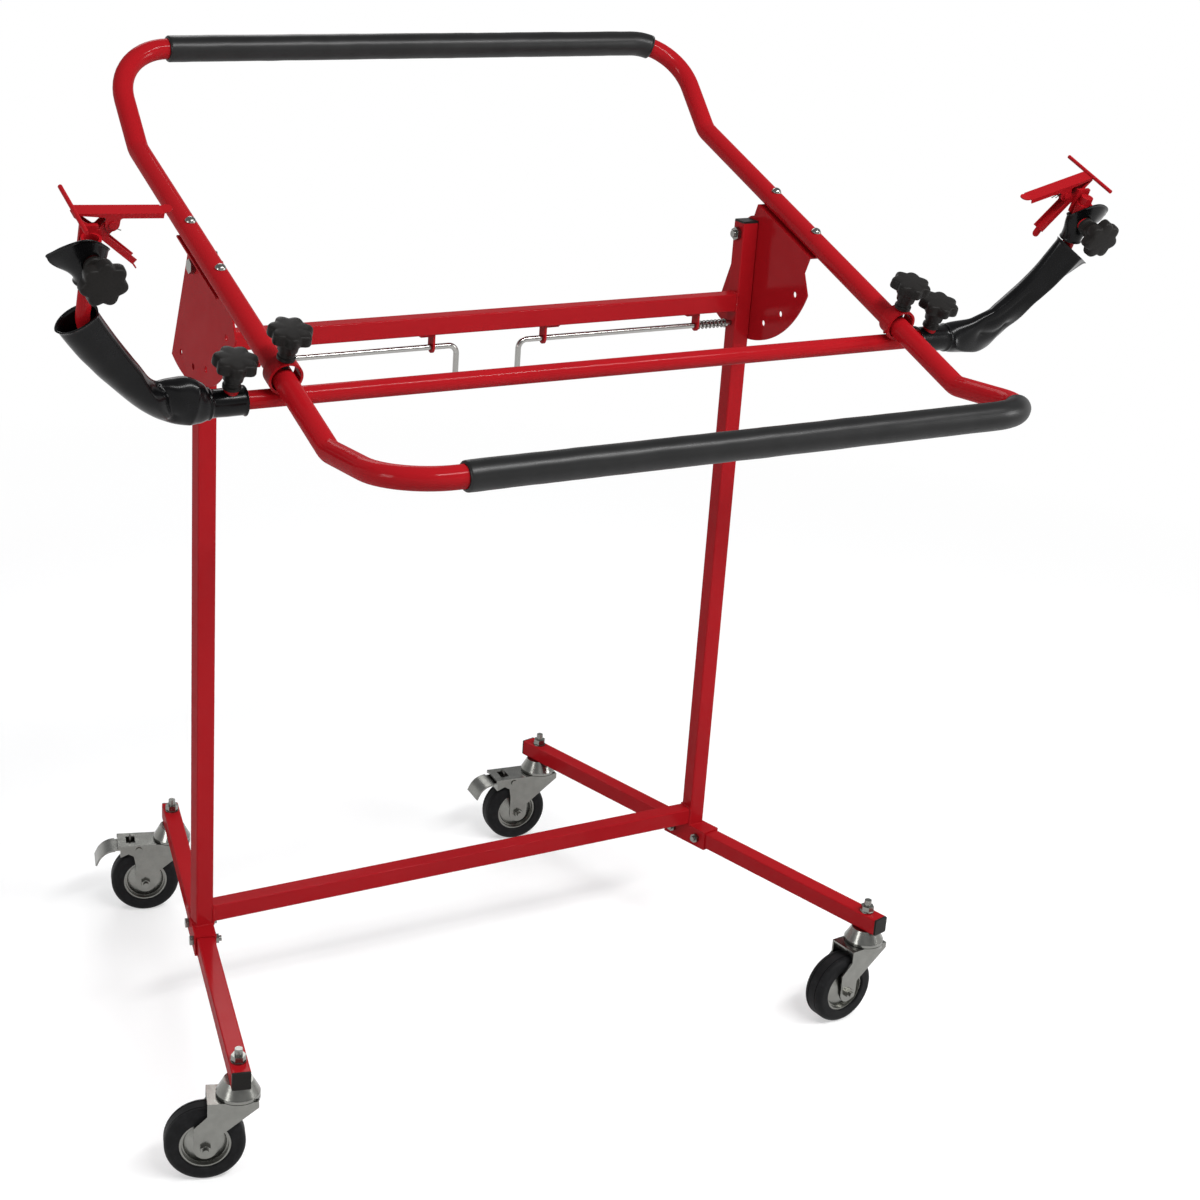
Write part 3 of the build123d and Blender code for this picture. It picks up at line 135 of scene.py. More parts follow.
class StandSizes(PropertyGroup):
    """Sizes of the pieces that are added to the model."""

    foam_radius: FloatProperty(
        name="Foam radius", description="Outer radius of the foam grips",
        unit="LENGTH", min=0.014, default=0.0175,
    )
    cover_wall: FloatProperty(
        name="Cover wall", description="Wall of the rubber covers",
        unit="LENGTH", min=0.0005, default=0.0024,
    )
    knob_radius: FloatProperty(
        name="Knob radius", description="Radius over the lobes of a star knob",
        unit="LENGTH", min=0.01, default=0.027,
    )
    knob_lobes: IntProperty(
        name="Knob lobes", description="Lobes round a star knob", min=3, max=12, default=7,
    )
    weld_bead: FloatProperty(
        name="Weld bead", description="Radius of the beads along the welds",
        unit="LENGTH", min=0.0005, default=0.0019,
    )
    thread_pitch: FloatProperty(
        name="Thread pitch", description="Pitch of the bolt and stem threads",
        unit="LENGTH", min=0.0005, default=0.00125,
    )


class StandStage(PropertyGroup):
    """Camera, floor and lights."""

    camera_place: FloatVectorProperty(
        name="Camera place", description="Where the camera stands",
        subtype="TRANSLATION", size=3, default=(-1.3962, -2.5578, 1.7129),
    )
    camera_turn: FloatVectorProperty(
        name="Camera turn", description="Yaw from the back direction, pitch down and roll",
        subtype="EULER", size=3, default=(0.5115, 0.3556, 0.0554),
    )
    focal_length: FloatProperty(
        name="Focal length", description="Lens for a sensor 36 mm wide",
        unit="CAMERA", default=65.757,
    )
    lens_shift: FloatVectorProperty(
        name="Lens shift", description="Offset of the frame, in frame widths",
        size=2, default=(0.0833, -0.0184),
    )
    floor_colour: FloatVectorProperty(
        name="Floor", description="Colour of the floor",
        subtype="COLOR", size=3, min=0.0, max=1.0, default=(0.6, 0.6, 0.6),
    )
    floor_glow: FloatVectorProperty(
        name="Floor glow", description="White that the camera sees added to the floor",
        subtype="COLOR", size=3, min=0.0, max=1.0, default=(0.45, 0.45, 0.45),
    )
    key_power: FloatProperty(
        name="Key light", description="Power of the long light above the front",
        unit="POWER", default=115.0,
    )
    fill_power: FloatProperty(
        name="Fill light", description="Power of the lights from the right and the back",
        unit="POWER", default=34.0,
    )
    side_power: FloatProperty(
        name="Side light", description="Power of the light from the left",
        unit="POWER", default=28.0,
    )
    sky: FloatProperty(
        name="Surround", description="Strength of the light from all round", default=0.4,
    )


# Node trees


class Value:
    """A socket of a node tree; operators on numbers add Math nodes."""

    def __init__(self, maker, socket):
        self.maker = maker
        self.socket = socket

    def math(self, operation, first, second):
        return self.maker.node("ShaderNodeMath", {"operation": operation}, {0: first, 1: second})

    def __add__(self, other):
        return self.math("ADD", self, other)

    def __radd__(self, other):
        return self.math("ADD", other, self)

    def __sub__(self, other):
        return self.math("SUBTRACT", self, other)

    def __rsub__(self, other):
        return self.math("SUBTRACT", other, self)

    def __mul__(self, other):
        return self.math("MULTIPLY", self, other)

    def __rmul__(self, other):
        return self.math("MULTIPLY", other, self)


class NodeMaker:
    """A node tree under construction, with one method that adds any node."""

    def __init__(self, tree):
        self.tree = tree

    def node(self, kind, settings, values, output=0):
        """Add a node, set its settings, then its sockets, and return one of its outputs."""
        node = self.tree.nodes.new(kind)
        for name, value in settings.items():
            if name == "stops":
                for stop, (position, shade) in zip(node.color_ramp.elements, value):
                    stop.position = position
                    stop.color = (shade, shade, shade, 1.0)
            else:
                setattr(node, name, value)
        for name, value in values.items():
            if isinstance(value, Value):
                self.tree.links.new(value.socket, node.inputs[name])
            else:
                node.inputs[name].default_value = value
        return Value(self, node.outputs[output]) if len(node.outputs) else None


class Finish(NodeMaker):
    """A material or world under construction."""

    def __init__(self, owner, coordinates="Object"):
        owner.use_nodes = True
        owner.node_tree.nodes.clear()
        super().__init__(owner.node_tree)
        self.owner = owner
        self.place = self.node("ShaderNodeTexCoord", {}, {}, coordinates)

    def grain(self, scale, detail=2.0, roughness=0.5):
        """Noise over the surface; scale is in waves per metre."""
        return self.node(
            "ShaderNodeTexNoise", {},
            {"Vector": self.place, "Scale": scale, "Detail": detail, "Roughness": roughness},
        )

    def band(self, value, low, high):
        """A value pulled out to black below low and white above high."""
        return self.node("ShaderNodeValToRGB", {"stops": ((low, 0.0), (high, 1.0))}, {"Fac": value})

    def blend(self, amount, first, second):
        """A colour between two colours."""
        return self.node(
            "ShaderNodeMix", {"data_type": "RGBA"}, {"Factor": amount, 6: first, 7: second}, 2,
        )

    def bump(self, height, strength, distance):
        """A surface normal from a height."""
        return self.node(
            "ShaderNodeBump", {}, {"Height": height, "Strength": strength, "Distance": distance},
        )

    def seen(self):
        """1 where the camera sees the surface, straight or in a reflection, and 0 for its light."""
        straight, mirrored, through_glass = (
            self.node("ShaderNodeLightPath", {}, {}, ray)
            for ray in ("Is Camera Ray", "Is Glossy Ray", "Is Transmission Ray")
        )
        return straight + mirrored + through_glass

    def close(self, shader, end):
        """Join a shader to the output node and return the material or world."""
        self.node(end, {}, {"Surface": shader})
        return self.owner

    def done(self, sockets):
        """Finish with a surface shader and return the material."""
        shader = self.node("ShaderNodeBsdfPrincipled", {}, sockets)
        return self.close(shader, "ShaderNodeOutputMaterial")


class Tree(NodeMaker):
    """A geometry tree under construction, which grows on points and has named inputs."""

    def __init__(self, name):
        super().__init__(bpy.data.node_groups.new(name, "GeometryNodeTree"))
        for way in ("INPUT", "OUTPUT"):
            self.tree.interface.new_socket(
                "Geometry", in_out=way, socket_type="NodeSocketGeometry",
            )
        self.entry = self.node("NodeGroupInput", {}, {}).socket.node

    def size(self, name, kind="NodeSocketFloat"):
        """A named input of the tree."""
        self.tree.interface.new_socket(name, in_out="INPUT", socket_type=kind)
        return Value(self, self.entry.outputs[name])

    def told(self, name, kind):
        """What each point says under a name."""
        return self.node("GeometryNodeInputNamedAttribute", {"data_type": kind}, {"Name": name})

    def turned(self, axis):
        """A turn that lays an axis along the flow of each point."""
        flow = self.told("flow", "FLOAT_VECTOR")
        return self.node("FunctionNodeAlignRotationToVector", {"axis": axis}, {"Vector": flow})

    def finish(self, shape, turn, scale):
        """Put a shape on every point and close the tree on real geometry with a material."""
        points = Value(self, self.entry.outputs["Geometry"])
        placed = self.node(
            "GeometryNodeInstanceOnPoints", {},
            {"Points": points, "Instance": shape, "Rotation": turn, "Scale": scale},
        )
        real = self.node("GeometryNodeRealizeInstances", {}, {"Geometry": placed})
        smooth = self.node("GeometryNodeSetShadeSmooth", {}, {"Geometry": real})
        finish = self.size("Finish", "NodeSocketMaterial")
        painted = self.node(
            "GeometryNodeSetMaterial", {}, {"Geometry": smooth, "Material": finish},
        )
        self.node("NodeGroupOutput", {}, {"Geometry": painted})
        return self.tree


# Finishes


def new_finish(name):
    """A new material to build up, named apart from the model's own plain materials."""
    return Finish(bpy.data.materials.new(f"{name}_finish"))


def opaque(colour, share=1.0):
    """A colour with full alpha, darkened or lightened by a share."""
    return tuple(min(1.0, channel * share) for channel in colour) + (1.0,)


def powder_coat(colour):
    """Powder coat: a thin gloss skin with a fine orange peel over a slightly uneven colour."""
    paint = new_finish("powder_coat")
    peel = paint.grain(520.0, detail=1.0)
    depth = paint.grain(7.0, detail=3.0)
    haze = paint.grain(48.0, detail=3.0)
    return paint.done({
        "Base Color": paint.blend(depth, opaque(colour, 0.9), opaque(colour, 1.1)),
        "Roughness": 0.5,
        "Specular IOR Level": 0.0,
        "Coat Weight": 0.11 + haze * 0.1,
        "Coat Roughness": 0.13,
        "Normal": paint.bump(peel, strength=0.045, distance=0.0006),
    })


def zinc_plate(colour):
    """Zinc-plated pressed steel: cloudy grey metal with fine drawing marks."""
    zinc = new_finish("zinc_plate")
    cloud = zinc.grain(70.0, detail=4.0, roughness=0.6)
    marks = zinc.grain(900.0)
    patches = zinc.band(cloud, 0.3, 0.72)
    return zinc.done({
        "Base Color": zinc.blend(patches, opaque(colour, 0.9), opaque(colour, 1.1)),
        "Roughness": 0.19 + cloud * 0.12,
        "Metallic": 1.0,
        "Normal": zinc.bump(marks, strength=0.05, distance=0.0003),
    })


def drawn_steel(colour, name, least_roughness):
    """Bright or dark drawn wire and rod with faint draw lines."""
    steel = new_finish(name)
    lines = steel.grain(650.0, detail=3.0)
    return steel.done({
        "Base Color": steel.blend(lines, opaque(colour, 0.85), opaque(colour, 1.1)),
        "Roughness": least_roughness + lines * 0.16,
        "Metallic": 1.0,
        "Normal": steel.bump(lines, strength=0.06, distance=0.0003),
    })


def moulded_plastic(colour):
    """Satin moulded plastic with a fine spark-eroded grain."""
    plastic = new_finish("moulded_plastic")
    spark = plastic.grain(1700.0)
    shine = plastic.grain(60.0)
    return plastic.done({
        "Base Color": plastic.blend(shine, opaque(colour, 0.8), opaque(colour, 1.3)),
        "Roughness": 0.36 + shine * 0.14,
        "Specular IOR Level": 0.1,
        "Normal": plastic.bump(spark, strength=0.16, distance=0.0003),
    })


def cover_rubber(colour):
    """Smooth dipped rubber: glossy, with soft uneven skin and a faint pale bloom."""
    rubber = new_finish("cover_rubber")
    skin = rubber.grain(90.0, detail=3.0)
    bloom = rubber.grain(22.0, detail=4.0)
    patches = rubber.band(bloom, 0.45, 0.85)
    return rubber.done({
        "Base Color": rubber.blend(patches, opaque(colour), opaque(colour, 2.2)),
        "Roughness": 0.16 + bloom * 0.12,
        "Specular IOR Level": 0.15,
        "Normal": rubber.bump(skin, strength=0.08, distance=0.0008),
    })


def grip_foam(colour):
    """Closed-cell foam: small skin cells under a soft sheen."""
    foam = new_finish("grip_foam")
    cells = foam.node(
        "ShaderNodeTexVoronoi", {"feature": "F1"}, {"Vector": foam.place, "Scale": 620.0},
    )
    soft = foam.grain(30.0, detail=3.0)
    return foam.done({
        "Base Color": foam.blend(soft, opaque(colour, 0.8), opaque(colour, 1.3)),
        "Roughness": 0.8,
        "Specular IOR Level": 0.0,
        "Coat Weight": 0.48 + soft * 0.16,
        "Coat Roughness": 0.35,
        "Normal": foam.bump(cells, strength=0.14, distance=0.0005),
    })


def tyre_rubber(colour):
    """Moulded tyre rubber: dark satin with a slightly dusty tread."""
    tyre = new_finish("tyre_rubber")
    dust = tyre.grain(90.0, detail=4.0, roughness=0.65)
    skin = tyre.grain(800.0)
    patches = tyre.band(dust, 0.45, 0.9)
    return tyre.done({
        "Base Color": tyre.blend(patches, opaque(colour), opaque(colour, 2.4)),
        "Roughness": 0.44 + dust * 0.24,
        "Specular IOR Level": 0.1,
        "Normal": tyre.bump(skin, strength=0.14, distance=0.0004),
    })


# What makes each finish, the setting of its colour and anything else that it takes
finish_makers = {
    "powder_coat": (powder_coat, "paint"),
    "zinc_plate": (zinc_plate, "zinc"),
    "bright_steel": (drawn_steel, "bright", "bright_steel", 0.12),
    "spring_steel": (drawn_steel, "spring", "spring_steel", 0.3),
    "moulded_plastic": (moulded_plastic, "plastic"),
    "cover_rubber": (cover_rubber, "rubber"),
    "grip_foam": (grip_foam, "foam"),
    "tyre_rubber": (tyre_rubber, "tyre"),
}


def finish_named(context, name):
    """The material of one finish, made when it is first asked for."""
    made = bpy.data.materials.get(f"{name}_finish")
    if made is None:
        maker, setting, *more = finish_makers[name]
        made = maker(getattr(context.scene.stand_colours, setting), *more)
    return made


# Mesh tools


def new_piece(context, name, mesh, finish):
    """An object for a finished mesh, shaded smooth, with one material."""
    mesh.materials.clear()
    mesh.materials.append(finish_named(context, finish))
    mesh.polygons.foreach_set("use_smooth", [True] * len(mesh.polygons))
    piece = bpy.data.objects.new(name, mesh)
    context.scene.collection.objects.link(piece)
    return piece


def ring_angles(count):
    """Angles of points spread evenly round a ring."""
    return [2.0 * math.pi * step / count for step in range(count)]


def join_rings(mesh_maker, lower, upper):
    """Faces between two rings of points."""
    for corner in range(len(lower)):
        following = (corner + 1) % len(lower)
        mesh_maker.faces.new((lower[corner], lower[following], upper[following], upper[corner]))


def closed_mesh(name, mesh_maker, hard_bend=None):
    """The mesh of a closed form, faces outwards, with hard edges where it bends by more."""
    bmesh.ops.recalc_face_normals(mesh_maker, faces=mesh_maker.faces)
    if hard_bend is not None:
        for edge in mesh_maker.edges:
            edge.smooth = edge.calc_face_angle() <= hard_bend
    mesh = bpy.data.meshes.new(name)
    mesh_maker.to_mesh(mesh)
    mesh_maker.free()
    return mesh


def ring_shell(name, outer, inner):
    """A closed shell between an outer and an inner run of rings, joined at both ends."""
    mesh_maker = bmesh.new()
    loops = [[mesh_maker.verts.new(point) for point in ring] for ring in outer + inner[::-1]]
    for loop, after in zip(loops, loops[1:] + loops[:1]):
        join_rings(mesh_maker, loop, after)
    return closed_mesh(name, mesh_maker)


def through(values, place):
    """A smooth curve through numbers, read at a place between 0 and 1."""
    last = len(values) - 1
    span = min(int(place * last), last - 1)
    share = place * last - span
    before = values[max(span - 1, 0)]
    start = values[span]
    end = values[span + 1]
    after = values[min(span + 2, last)]
    return (
        start
        + (end - before) * (0.5 * share)
        + (before * 2.0 - start * 5.0 + end * 4.0 - after) * (0.5 * share * share)
        + (start * 3.0 - before - end * 3.0 + after) * (0.5 * share * share * share)
    )


def bead_height(beads, place):
    """How far the rolled beads of a cover stand out; a bead has a height, middle and width."""
    return sum(
        height * math.exp(-(((place - middle) / width) ** 2)) for height, middle, width in beads
    )


def dress(node, finish, context):
    """Give a node of the model its finish."""
    if node not in frame["nodes"]:
        raise ValueError(f"the model has no piece named {node}")
    materials = frame["nodes"][node].data.materials
    materials.clear()
    materials.append(finish_named(context, finish))


def grown_mesh(context, name, tree, points, inputs):
    """The plain mesh that a tree grows on points; a point is a place, a direction and a width."""
    seed = bpy.data.meshes.new(name + "_points")
    seed.from_pydata([place for place, flow, width in points], [], [])
    flows = seed.attributes.new("flow", "FLOAT_VECTOR", "POINT")
    flows.data.foreach_set("vector", [part for place, flow, width in points for part in flow])
    widths = seed.attributes.new("width", "FLOAT", "POINT")
    widths.data.foreach_set("value", [width for place, flow, width in points])
    holder = bpy.data.objects.new(name + "_seed", seed)
    context.scene.collection.objects.link(holder)
    modifier = holder.modifiers.new("grow", "NODES")
    modifier.node_group = tree
    for item in tree.interface.items_tree:
        if item.item_type == "SOCKET" and item.in_out == "INPUT" and item.name in inputs:
            modifier[item.identifier] = inputs[item.name]
    context.view_layer.update()
    evaluated = holder.evaluated_get(context.evaluated_depsgraph_get())
    mesh = bpy.data.meshes.new_from_object(evaluated)
    mesh.name = name
    holder.modifiers.remove(modifier)
    bpy.data.objects.remove(holder)
    if len(mesh.polygons) == 0:
        raise ValueError(f"{name} came out empty")
    return mesh


# The model's own pieces


class STAND_OT_metalwork(Operator):
    """Give every piece of the model its paint, plating, plastic or rubber"""

    bl_idname = "stand.metalwork"
    bl_label = "Finishes of the model"

    def execute(self, context):
        finishes = {
            "red_paint": "powder_coat",
            "zinc_plate": "zinc_plate",
            "bright_steel": "bright_steel",
            "spring_steel": "spring_steel",
            "black_plastic": "moulded_plastic",
            "cover_rubber": "cover_rubber",
            "foam": "grip_foam",
            "tyre_rubber": "tyre_rubber",
        }
        for entry in frame["record"]["subparts"]:
            dress(entry["node"], finishes[entry["material_slot"]], context)
        return {"FINISHED"}


# Foam grips


def grip_path(start, bar_along, bar_rise, corner, run, wrap):
    """A grip's centre line along the bar and part of its corner: point, direction, inner side."""
    bar_steps = 90
    corner_steps = 14
    bend = bow_place - corner
    leg = (forward * run[0] + lift * run[1]).normalized()
    path = []
    for step in range(bar_steps + 1):
        x = start + (bend - start) * step / bar_steps
        path.append((head_point(x, bar_along, bar_rise), across, leg))
    for step in range(1, corner_steps + 1):
        angle = wrap * step / corner_steps
        place = head_point(bend + corner * math.sin(angle), bar_along, bar_rise)
        place += leg * (corner * (1.0 - math.cos(angle)))
        direction = across * math.cos(angle) + leg * math.sin(angle)
        inward = leg * math.cos(angle) - across * math.sin(angle)
        path.append((place, direction, inward))
    return path


def foam_mesh(name, path, radius, seed):
    """A foam sleeve on a path: soft uneven skin, round end edges and a bore."""
    sectors = 40
    end_round = 0.003
    bore_radius = bow_radius + 0.0001
    swell, fine_swell = 0.00032, 0.00018
    waves, waves_round, finer = 26.0, 0.6, 3.1
    first, last = path[0], path[-1]
    start_rows = []
    end_rows = []
    for share in (0.0, 0.25, 0.5, 0.75, 1.0):
        angle = share * math.pi / 2
        shrink = end_round * (1.0 - math.sin(angle))
        shift = end_round * (1.0 - math.cos(angle))
        start_rows.append((first[0] + first[1] * shift, first[1], first[2], shrink))
        end_rows.append((last[0] - last[1] * shift, last[1], last[2], shrink))
    rows = start_rows + [(*point, 0.0) for point in path[1:-1]] + end_rows[::-1]
    outer = []
    inner = []
    for centre, direction, inward, shrink in rows:
        side = direction.cross(inward)
        ring = []
        bore = []
        for angle in ring_angles(sectors):
            spoke = inward * math.cos(angle) + side * math.sin(angle)
            sample = centre * waves + spoke * waves_round + Vector((seed, 0.0, 0.0))
            uneven = swell * noise.noise(sample) + fine_swell * noise.noise(sample * finer)
            ring.append(centre + spoke * (radius + uneven - shrink))
            bore.append(centre + spoke * bore_radius)
        outer.append(ring)
        inner.append(bore)
    return ring_shell(name, outer, inner)


class STAND_OT_foam_grips(Operator):
    """Make the two foam grips on the bows"""

    bl_idname = "stand.foam_grips"
    bl_label = "Foam grips"

    def execute(self, context):
        radius = context.scene.stand_sizes.foam_radius
        seed_step = 11.0
        grips = {
            "upper_grip": {
                "start": -0.361, "bar_along": -0.3335, "bar_rise": 0.1245, "corner": 0.078,
                "run": (0.137, -0.07), "wrap": math.radians(26.0),
            },
            "lower_grip": {
                "start": -0.356, "bar_along": 0.6115, "bar_rise": 0.1211, "corner": 0.075,
                "run": (-0.1485, -0.0666), "wrap": math.radians(50.0),
            },
        }
        for count, (node, shape) in enumerate(grips.items()):
            mesh = foam_mesh(node + "_foam", grip_path(**shape), radius, seed_step * count)
            piece = new_piece(context, node + "_foam", mesh, "grip_foam")
            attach(piece, "head")
            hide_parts(node)
        return {"FINISHED"}


# Rubber covers


cover_sectors = 96

# Arm covers: place across, rise, half width, half depth, lean, pinch of the edges, twist
arm_stations = {
    "left": (
        (0.4820, 0.0264, 0.0166, 0.0166, 0.0, 0.0, 0.0),
        (0.5040, 0.0264, 0.0168, 0.0168, 0.0, 0.0, 0.0),
        (0.5240, 0.0266, 0.0172, 0.0170, 0.0, 0.0, 0.0),
        (0.5370, 0.0290, 0.0250, 0.0200, 4.0, 0.0, 0.0),
        (0.5600, 0.0345, 0.0300, 0.0210, 14.0, 0.1, 3.0),
        (0.5850, 0.0435, 0.0250, 0.0205, 34.0, 0.2, 6.0),
        (0.6100, 0.0560, 0.0190, 0.0195, 48.0, 0.3, 8.0),
        (0.6330, 0.0795, 0.0200, 0.0190, 50.0, 0.35, 6.0),
        (0.6600, 0.1110, 0.0222, 0.0180, 51.0, 0.35, 3.0),
        (0.6765, 0.1325, 0.0230, 0.0175, 54.0, 0.25, 1.0),
        (0.6925, 0.1550, 0.0238, 0.0175, 57.0, 0.15, 0.0),
    ),
    "right": (
        (0.4820, 0.0264, 0.0166, 0.0166, 0.0, 0.0, 0.0),
        (0.5060, 0.0264, 0.0168, 0.0168, 0.0, 0.0, 0.0),
        (0.5280, 0.0262, 0.0174, 0.0172, 0.0, 0.0, 0.0),
        (0.5420, 0.0262, 0.0215, 0.0185, 2.0, 0.0, 0.0),
        (0.5740, 0.0290, 0.0255, 0.0178, 10.0, 0.2, 4.0),
        (0.6060, 0.0390, 0.0300, 0.0168, 26.0, 0.8, 8.0),
        (0.6190, 0.0570, 0.0235, 0.0158, 42.0, 0.8, 10.0),
        (0.6380, 0.0815, 0.0190, 0.0150, 52.0, 0.4, 8.0),
        (0.6590, 0.1045, 0.0215, 0.0158, 55.0, 0.3, 4.0),
        (0.6800, 0.1295, 0.0285, 0.0165, 56.0, 0.25, 1.0),
        (0.6990, 0.1530, 0.0365, 0.0165, 57.0, 0.2, 0.0),
    ),
}

# Creases: points along an arm cover and round to its front, height of a ridge or, below zero,
# depth of a crease, width
cover_creases = {
    "left": (
        (((1.0, 0.72), (0.82, 0.74), (0.68, 0.9), (0.57, 1.45), (0.45, 2.2)), 0.0042, 0.0065),
        (((0.55, 0.45), (0.485, 1.3), (0.43, 2.1)), -0.0085, 0.0085),
        (((0.35, 0.5), (0.35, 2.3)), 0.0026, 0.0060),
        (((0.56, -0.5), (0.46, -2.3)), -0.0055, 0.0085),
    ),
    "right": (
        (
            ((0.26, 1.55), (0.38, 2.1), (0.52, 2.95), (0.60, 2.5), (0.72, 1.8), (1.0, 1.45)),
            0.0066, 0.0060,
        ),
        (((0.43, 1.3), (0.49, 1.65), (0.58, 1.95)), -0.0065, 0.0080),
        (((0.74, 1.0), (0.64, 0.95), (0.46, 0.7)), -0.0022, 0.0060),
        (((0.72, 2.5), (1.0, 2.2)), -0.0032, 0.0080),
        (((0.40, -0.8), (0.62, -2.2)), -0.0045, 0.0080),
    ),
}

# Metres along an arm cover and metres round it for each radian, as the creases count them
crease_length = 0.27
crease_girth = 0.022

# Rounding of a ridge's crest and of the bottom of a crease
crest_round = 0.0014


def crease_reach(creases, along, round_front):
    """How far the ridges push a point of a cover out and the creases push it in."""
    reach = 0.0
    for points, height, width in creases:
        apart = math.inf
        for turn in (-2.0 * math.pi, 0.0, 2.0 * math.pi):
            spot = Vector((along * crease_length, (round_front + turn) * crease_girth))
            for start, end in zip(points, points[1:]):
                foot = Vector((start[0] * crease_length, start[1] * crease_girth))
                run = Vector((end[0] * crease_length, end[1] * crease_girth)) - foot
                share = min(1.0, max(0.0, (spot - foot).dot(run) / run.length_squared))
                apart = min(apart, (spot - foot - run * share).length)
        apart = math.hypot(apart, crest_round) - crest_round
        reach += height * math.exp(-apart / width)
    return reach


def arm_cover_mesh(name, side, stations, creases, wall):
    """A dipped rubber sleeve through its stations, with beads, pinched edges and creases."""
    rows = 180
    beads = ((0.0015, 0.0, 0.012), (0.0018, 1.0, 0.011), (0.0016, 0.215, 0.012))
    swell, waves = 0.0006, 38.0
    columns = list(zip(*stations))
    outer = []
    inner = []
    for row in range(rows + 1):
        place = row / rows
        values = [through(column, place) for column in columns]
        out, rise, half_width, half_depth, lean, pinch, twist = values
        lean = math.radians(lean)
        run = across * (side * math.cos(lean)) + lift * math.sin(lean)
        up = lift * math.cos(lean) - across * (side * math.sin(lean))
        turned = Matrix.Rotation(math.radians(twist), 3, run)
        depth = turned @ (run.cross(up) * side)
        up = turned @ up
        centre = head_point(side * out, cross_along, rise)
        bead = bead_height(beads, place)
        ring = []
        lining = []
        for angle in ring_angles(cover_sectors):
            front = angle if angle <= math.pi else angle - 2.0 * math.pi
            flat = 1.0 + pinch * (0.5 - 0.5 * math.cos(angle))
            lens = math.copysign(abs(math.sin(angle)) ** flat, math.sin(angle))
            spoke = up * (half_width * math.cos(angle)) + depth * (half_depth * lens)
            soft = swell * noise.noise((centre + spoke) * waves)
            reach = bead + soft + crease_reach(creases, place, front)
            outwards = up * (math.cos(angle) / half_width) + depth * (lens / half_depth)
            outwards.normalize()
            ring.append(centre + spoke + outwards * reach)
            lining.append(centre + spoke + outwards * (reach - wall))
        outer.append(ring)
        inner.append(lining)
    return ring_shell(name, outer, inner)


def clamp_cover_mesh(name, side, raise_by, wall):
    """A short rubber boot on a clamp's socket, flared above into a flat lobe on the outer side."""
    rows = 64
    beads = ((0.0012, 0.0, 0.035), (0.0017, 1.0, 0.035))
    foot_rise, boot_height = 0.187, 0.052
    foot_width, flare = 0.0138, 0.0187
    lobe_shift, lobe_pinch = 0.0125, 0.9
    front_depth, rear_depth, mean_depth = 0.0146, 0.0132, 0.0140
    rim_front, rim_outer, rim_sides, rim_rear = 0.008, 0.002, 0.016, 0.0105
    boss_radius, boss_face = 0.0115, 0.0116
    swell, lobe_swell, waves = 0.0004, 0.0010, 48.0
    outer = []
    inner = []
    for row in range(rows + 1):
        place = row / rows
        ease = place * place * (3.0 - 2.0 * place)
        middle = lobe_shift * ease
        half_width = foot_width + flare * ease
        height = foot_rise + boot_height * place
        bead = bead_height(beads, place)
        ring = []
        lining = []
        for angle in ring_angles(cover_sectors):
            outward = math.cos(angle)
            fore_share = math.sin(angle)
            flat = 1.0 + lobe_pinch * ease * max(0.0, outward)
            lens = math.copysign(abs(fore_share) ** flat, fore_share)
            out = middle + half_width * outward
            fore = (front_depth if lens > 0.0 else rear_depth) * lens
            tip = rim_front * fore_share - rim_outer * outward - rim_sides * outward * outward
            tip -= rim_rear * min(0.0, fore_share) ** 2
            rise = height + ease * tip
            if lens > 0.0:
                from_boss = math.hypot(out, rise - clamp_boss_rise)
                dimple = math.exp(-((from_boss / boss_radius) ** 4))
                fore -= max(0.0, fore - boss_face) * dimple
            outwards = across * (side * outward / half_width) + forward * (lens / mean_depth)
            outwards.normalize()
            spot = head_point(side * (post_place + out), cross_along + fore, rise + raise_by)
            uneven = swell + lobe_swell * ease * max(0.0, outward)
            soft = uneven * noise.noise(spot * waves)
            ring.append(spot + outwards * (bead + soft))
            lining.append(spot + outwards * (bead + soft - wall))
        outer.append(ring)
        inner.append(lining)
    return ring_shell(name, outer, inner)


class STAND_OT_arm_covers(Operator):
    """Make the rubber sleeves over the two arms"""

    bl_idname = "stand.arm_covers"
    bl_label = "Arm covers"

    def execute(self, context):
        wall = context.scene.stand_sizes.cover_wall
        for name, side in sides.items():
            piece_name = f"{name}_arm_cover_rubber"
            mesh = arm_cover_mesh(piece_name, side, arm_stations[name], cover_creases[name], wall)
            piece = new_piece(context, piece_name, mesh, "cover_rubber")
            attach(piece, f"{name}_arm_unit")
            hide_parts(f"{name}_arm_cover")
        return {"FINISHED"}


class STAND_OT_clamp_covers(Operator):
    """Make the short rubber sleeves under the two clamps"""

    bl_idname = "stand.clamp_covers"
    bl_label = "Clamp covers"

    def execute(self, context):
        wall = context.scene.stand_sizes.cover_wall
        for name, side in sides.items():
            piece_name = f"{name}_clamp_cover_rubber"
            mesh = clamp_cover_mesh(piece_name, side, clamp_lift[name], wall)
            piece = new_piece(context, piece_name, mesh, "cover_rubber")
            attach(piece, f"{name}_clamp_unit")
            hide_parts(f"{name}_clamp_cover")
        return {"FINISHED"}


# Star knobs


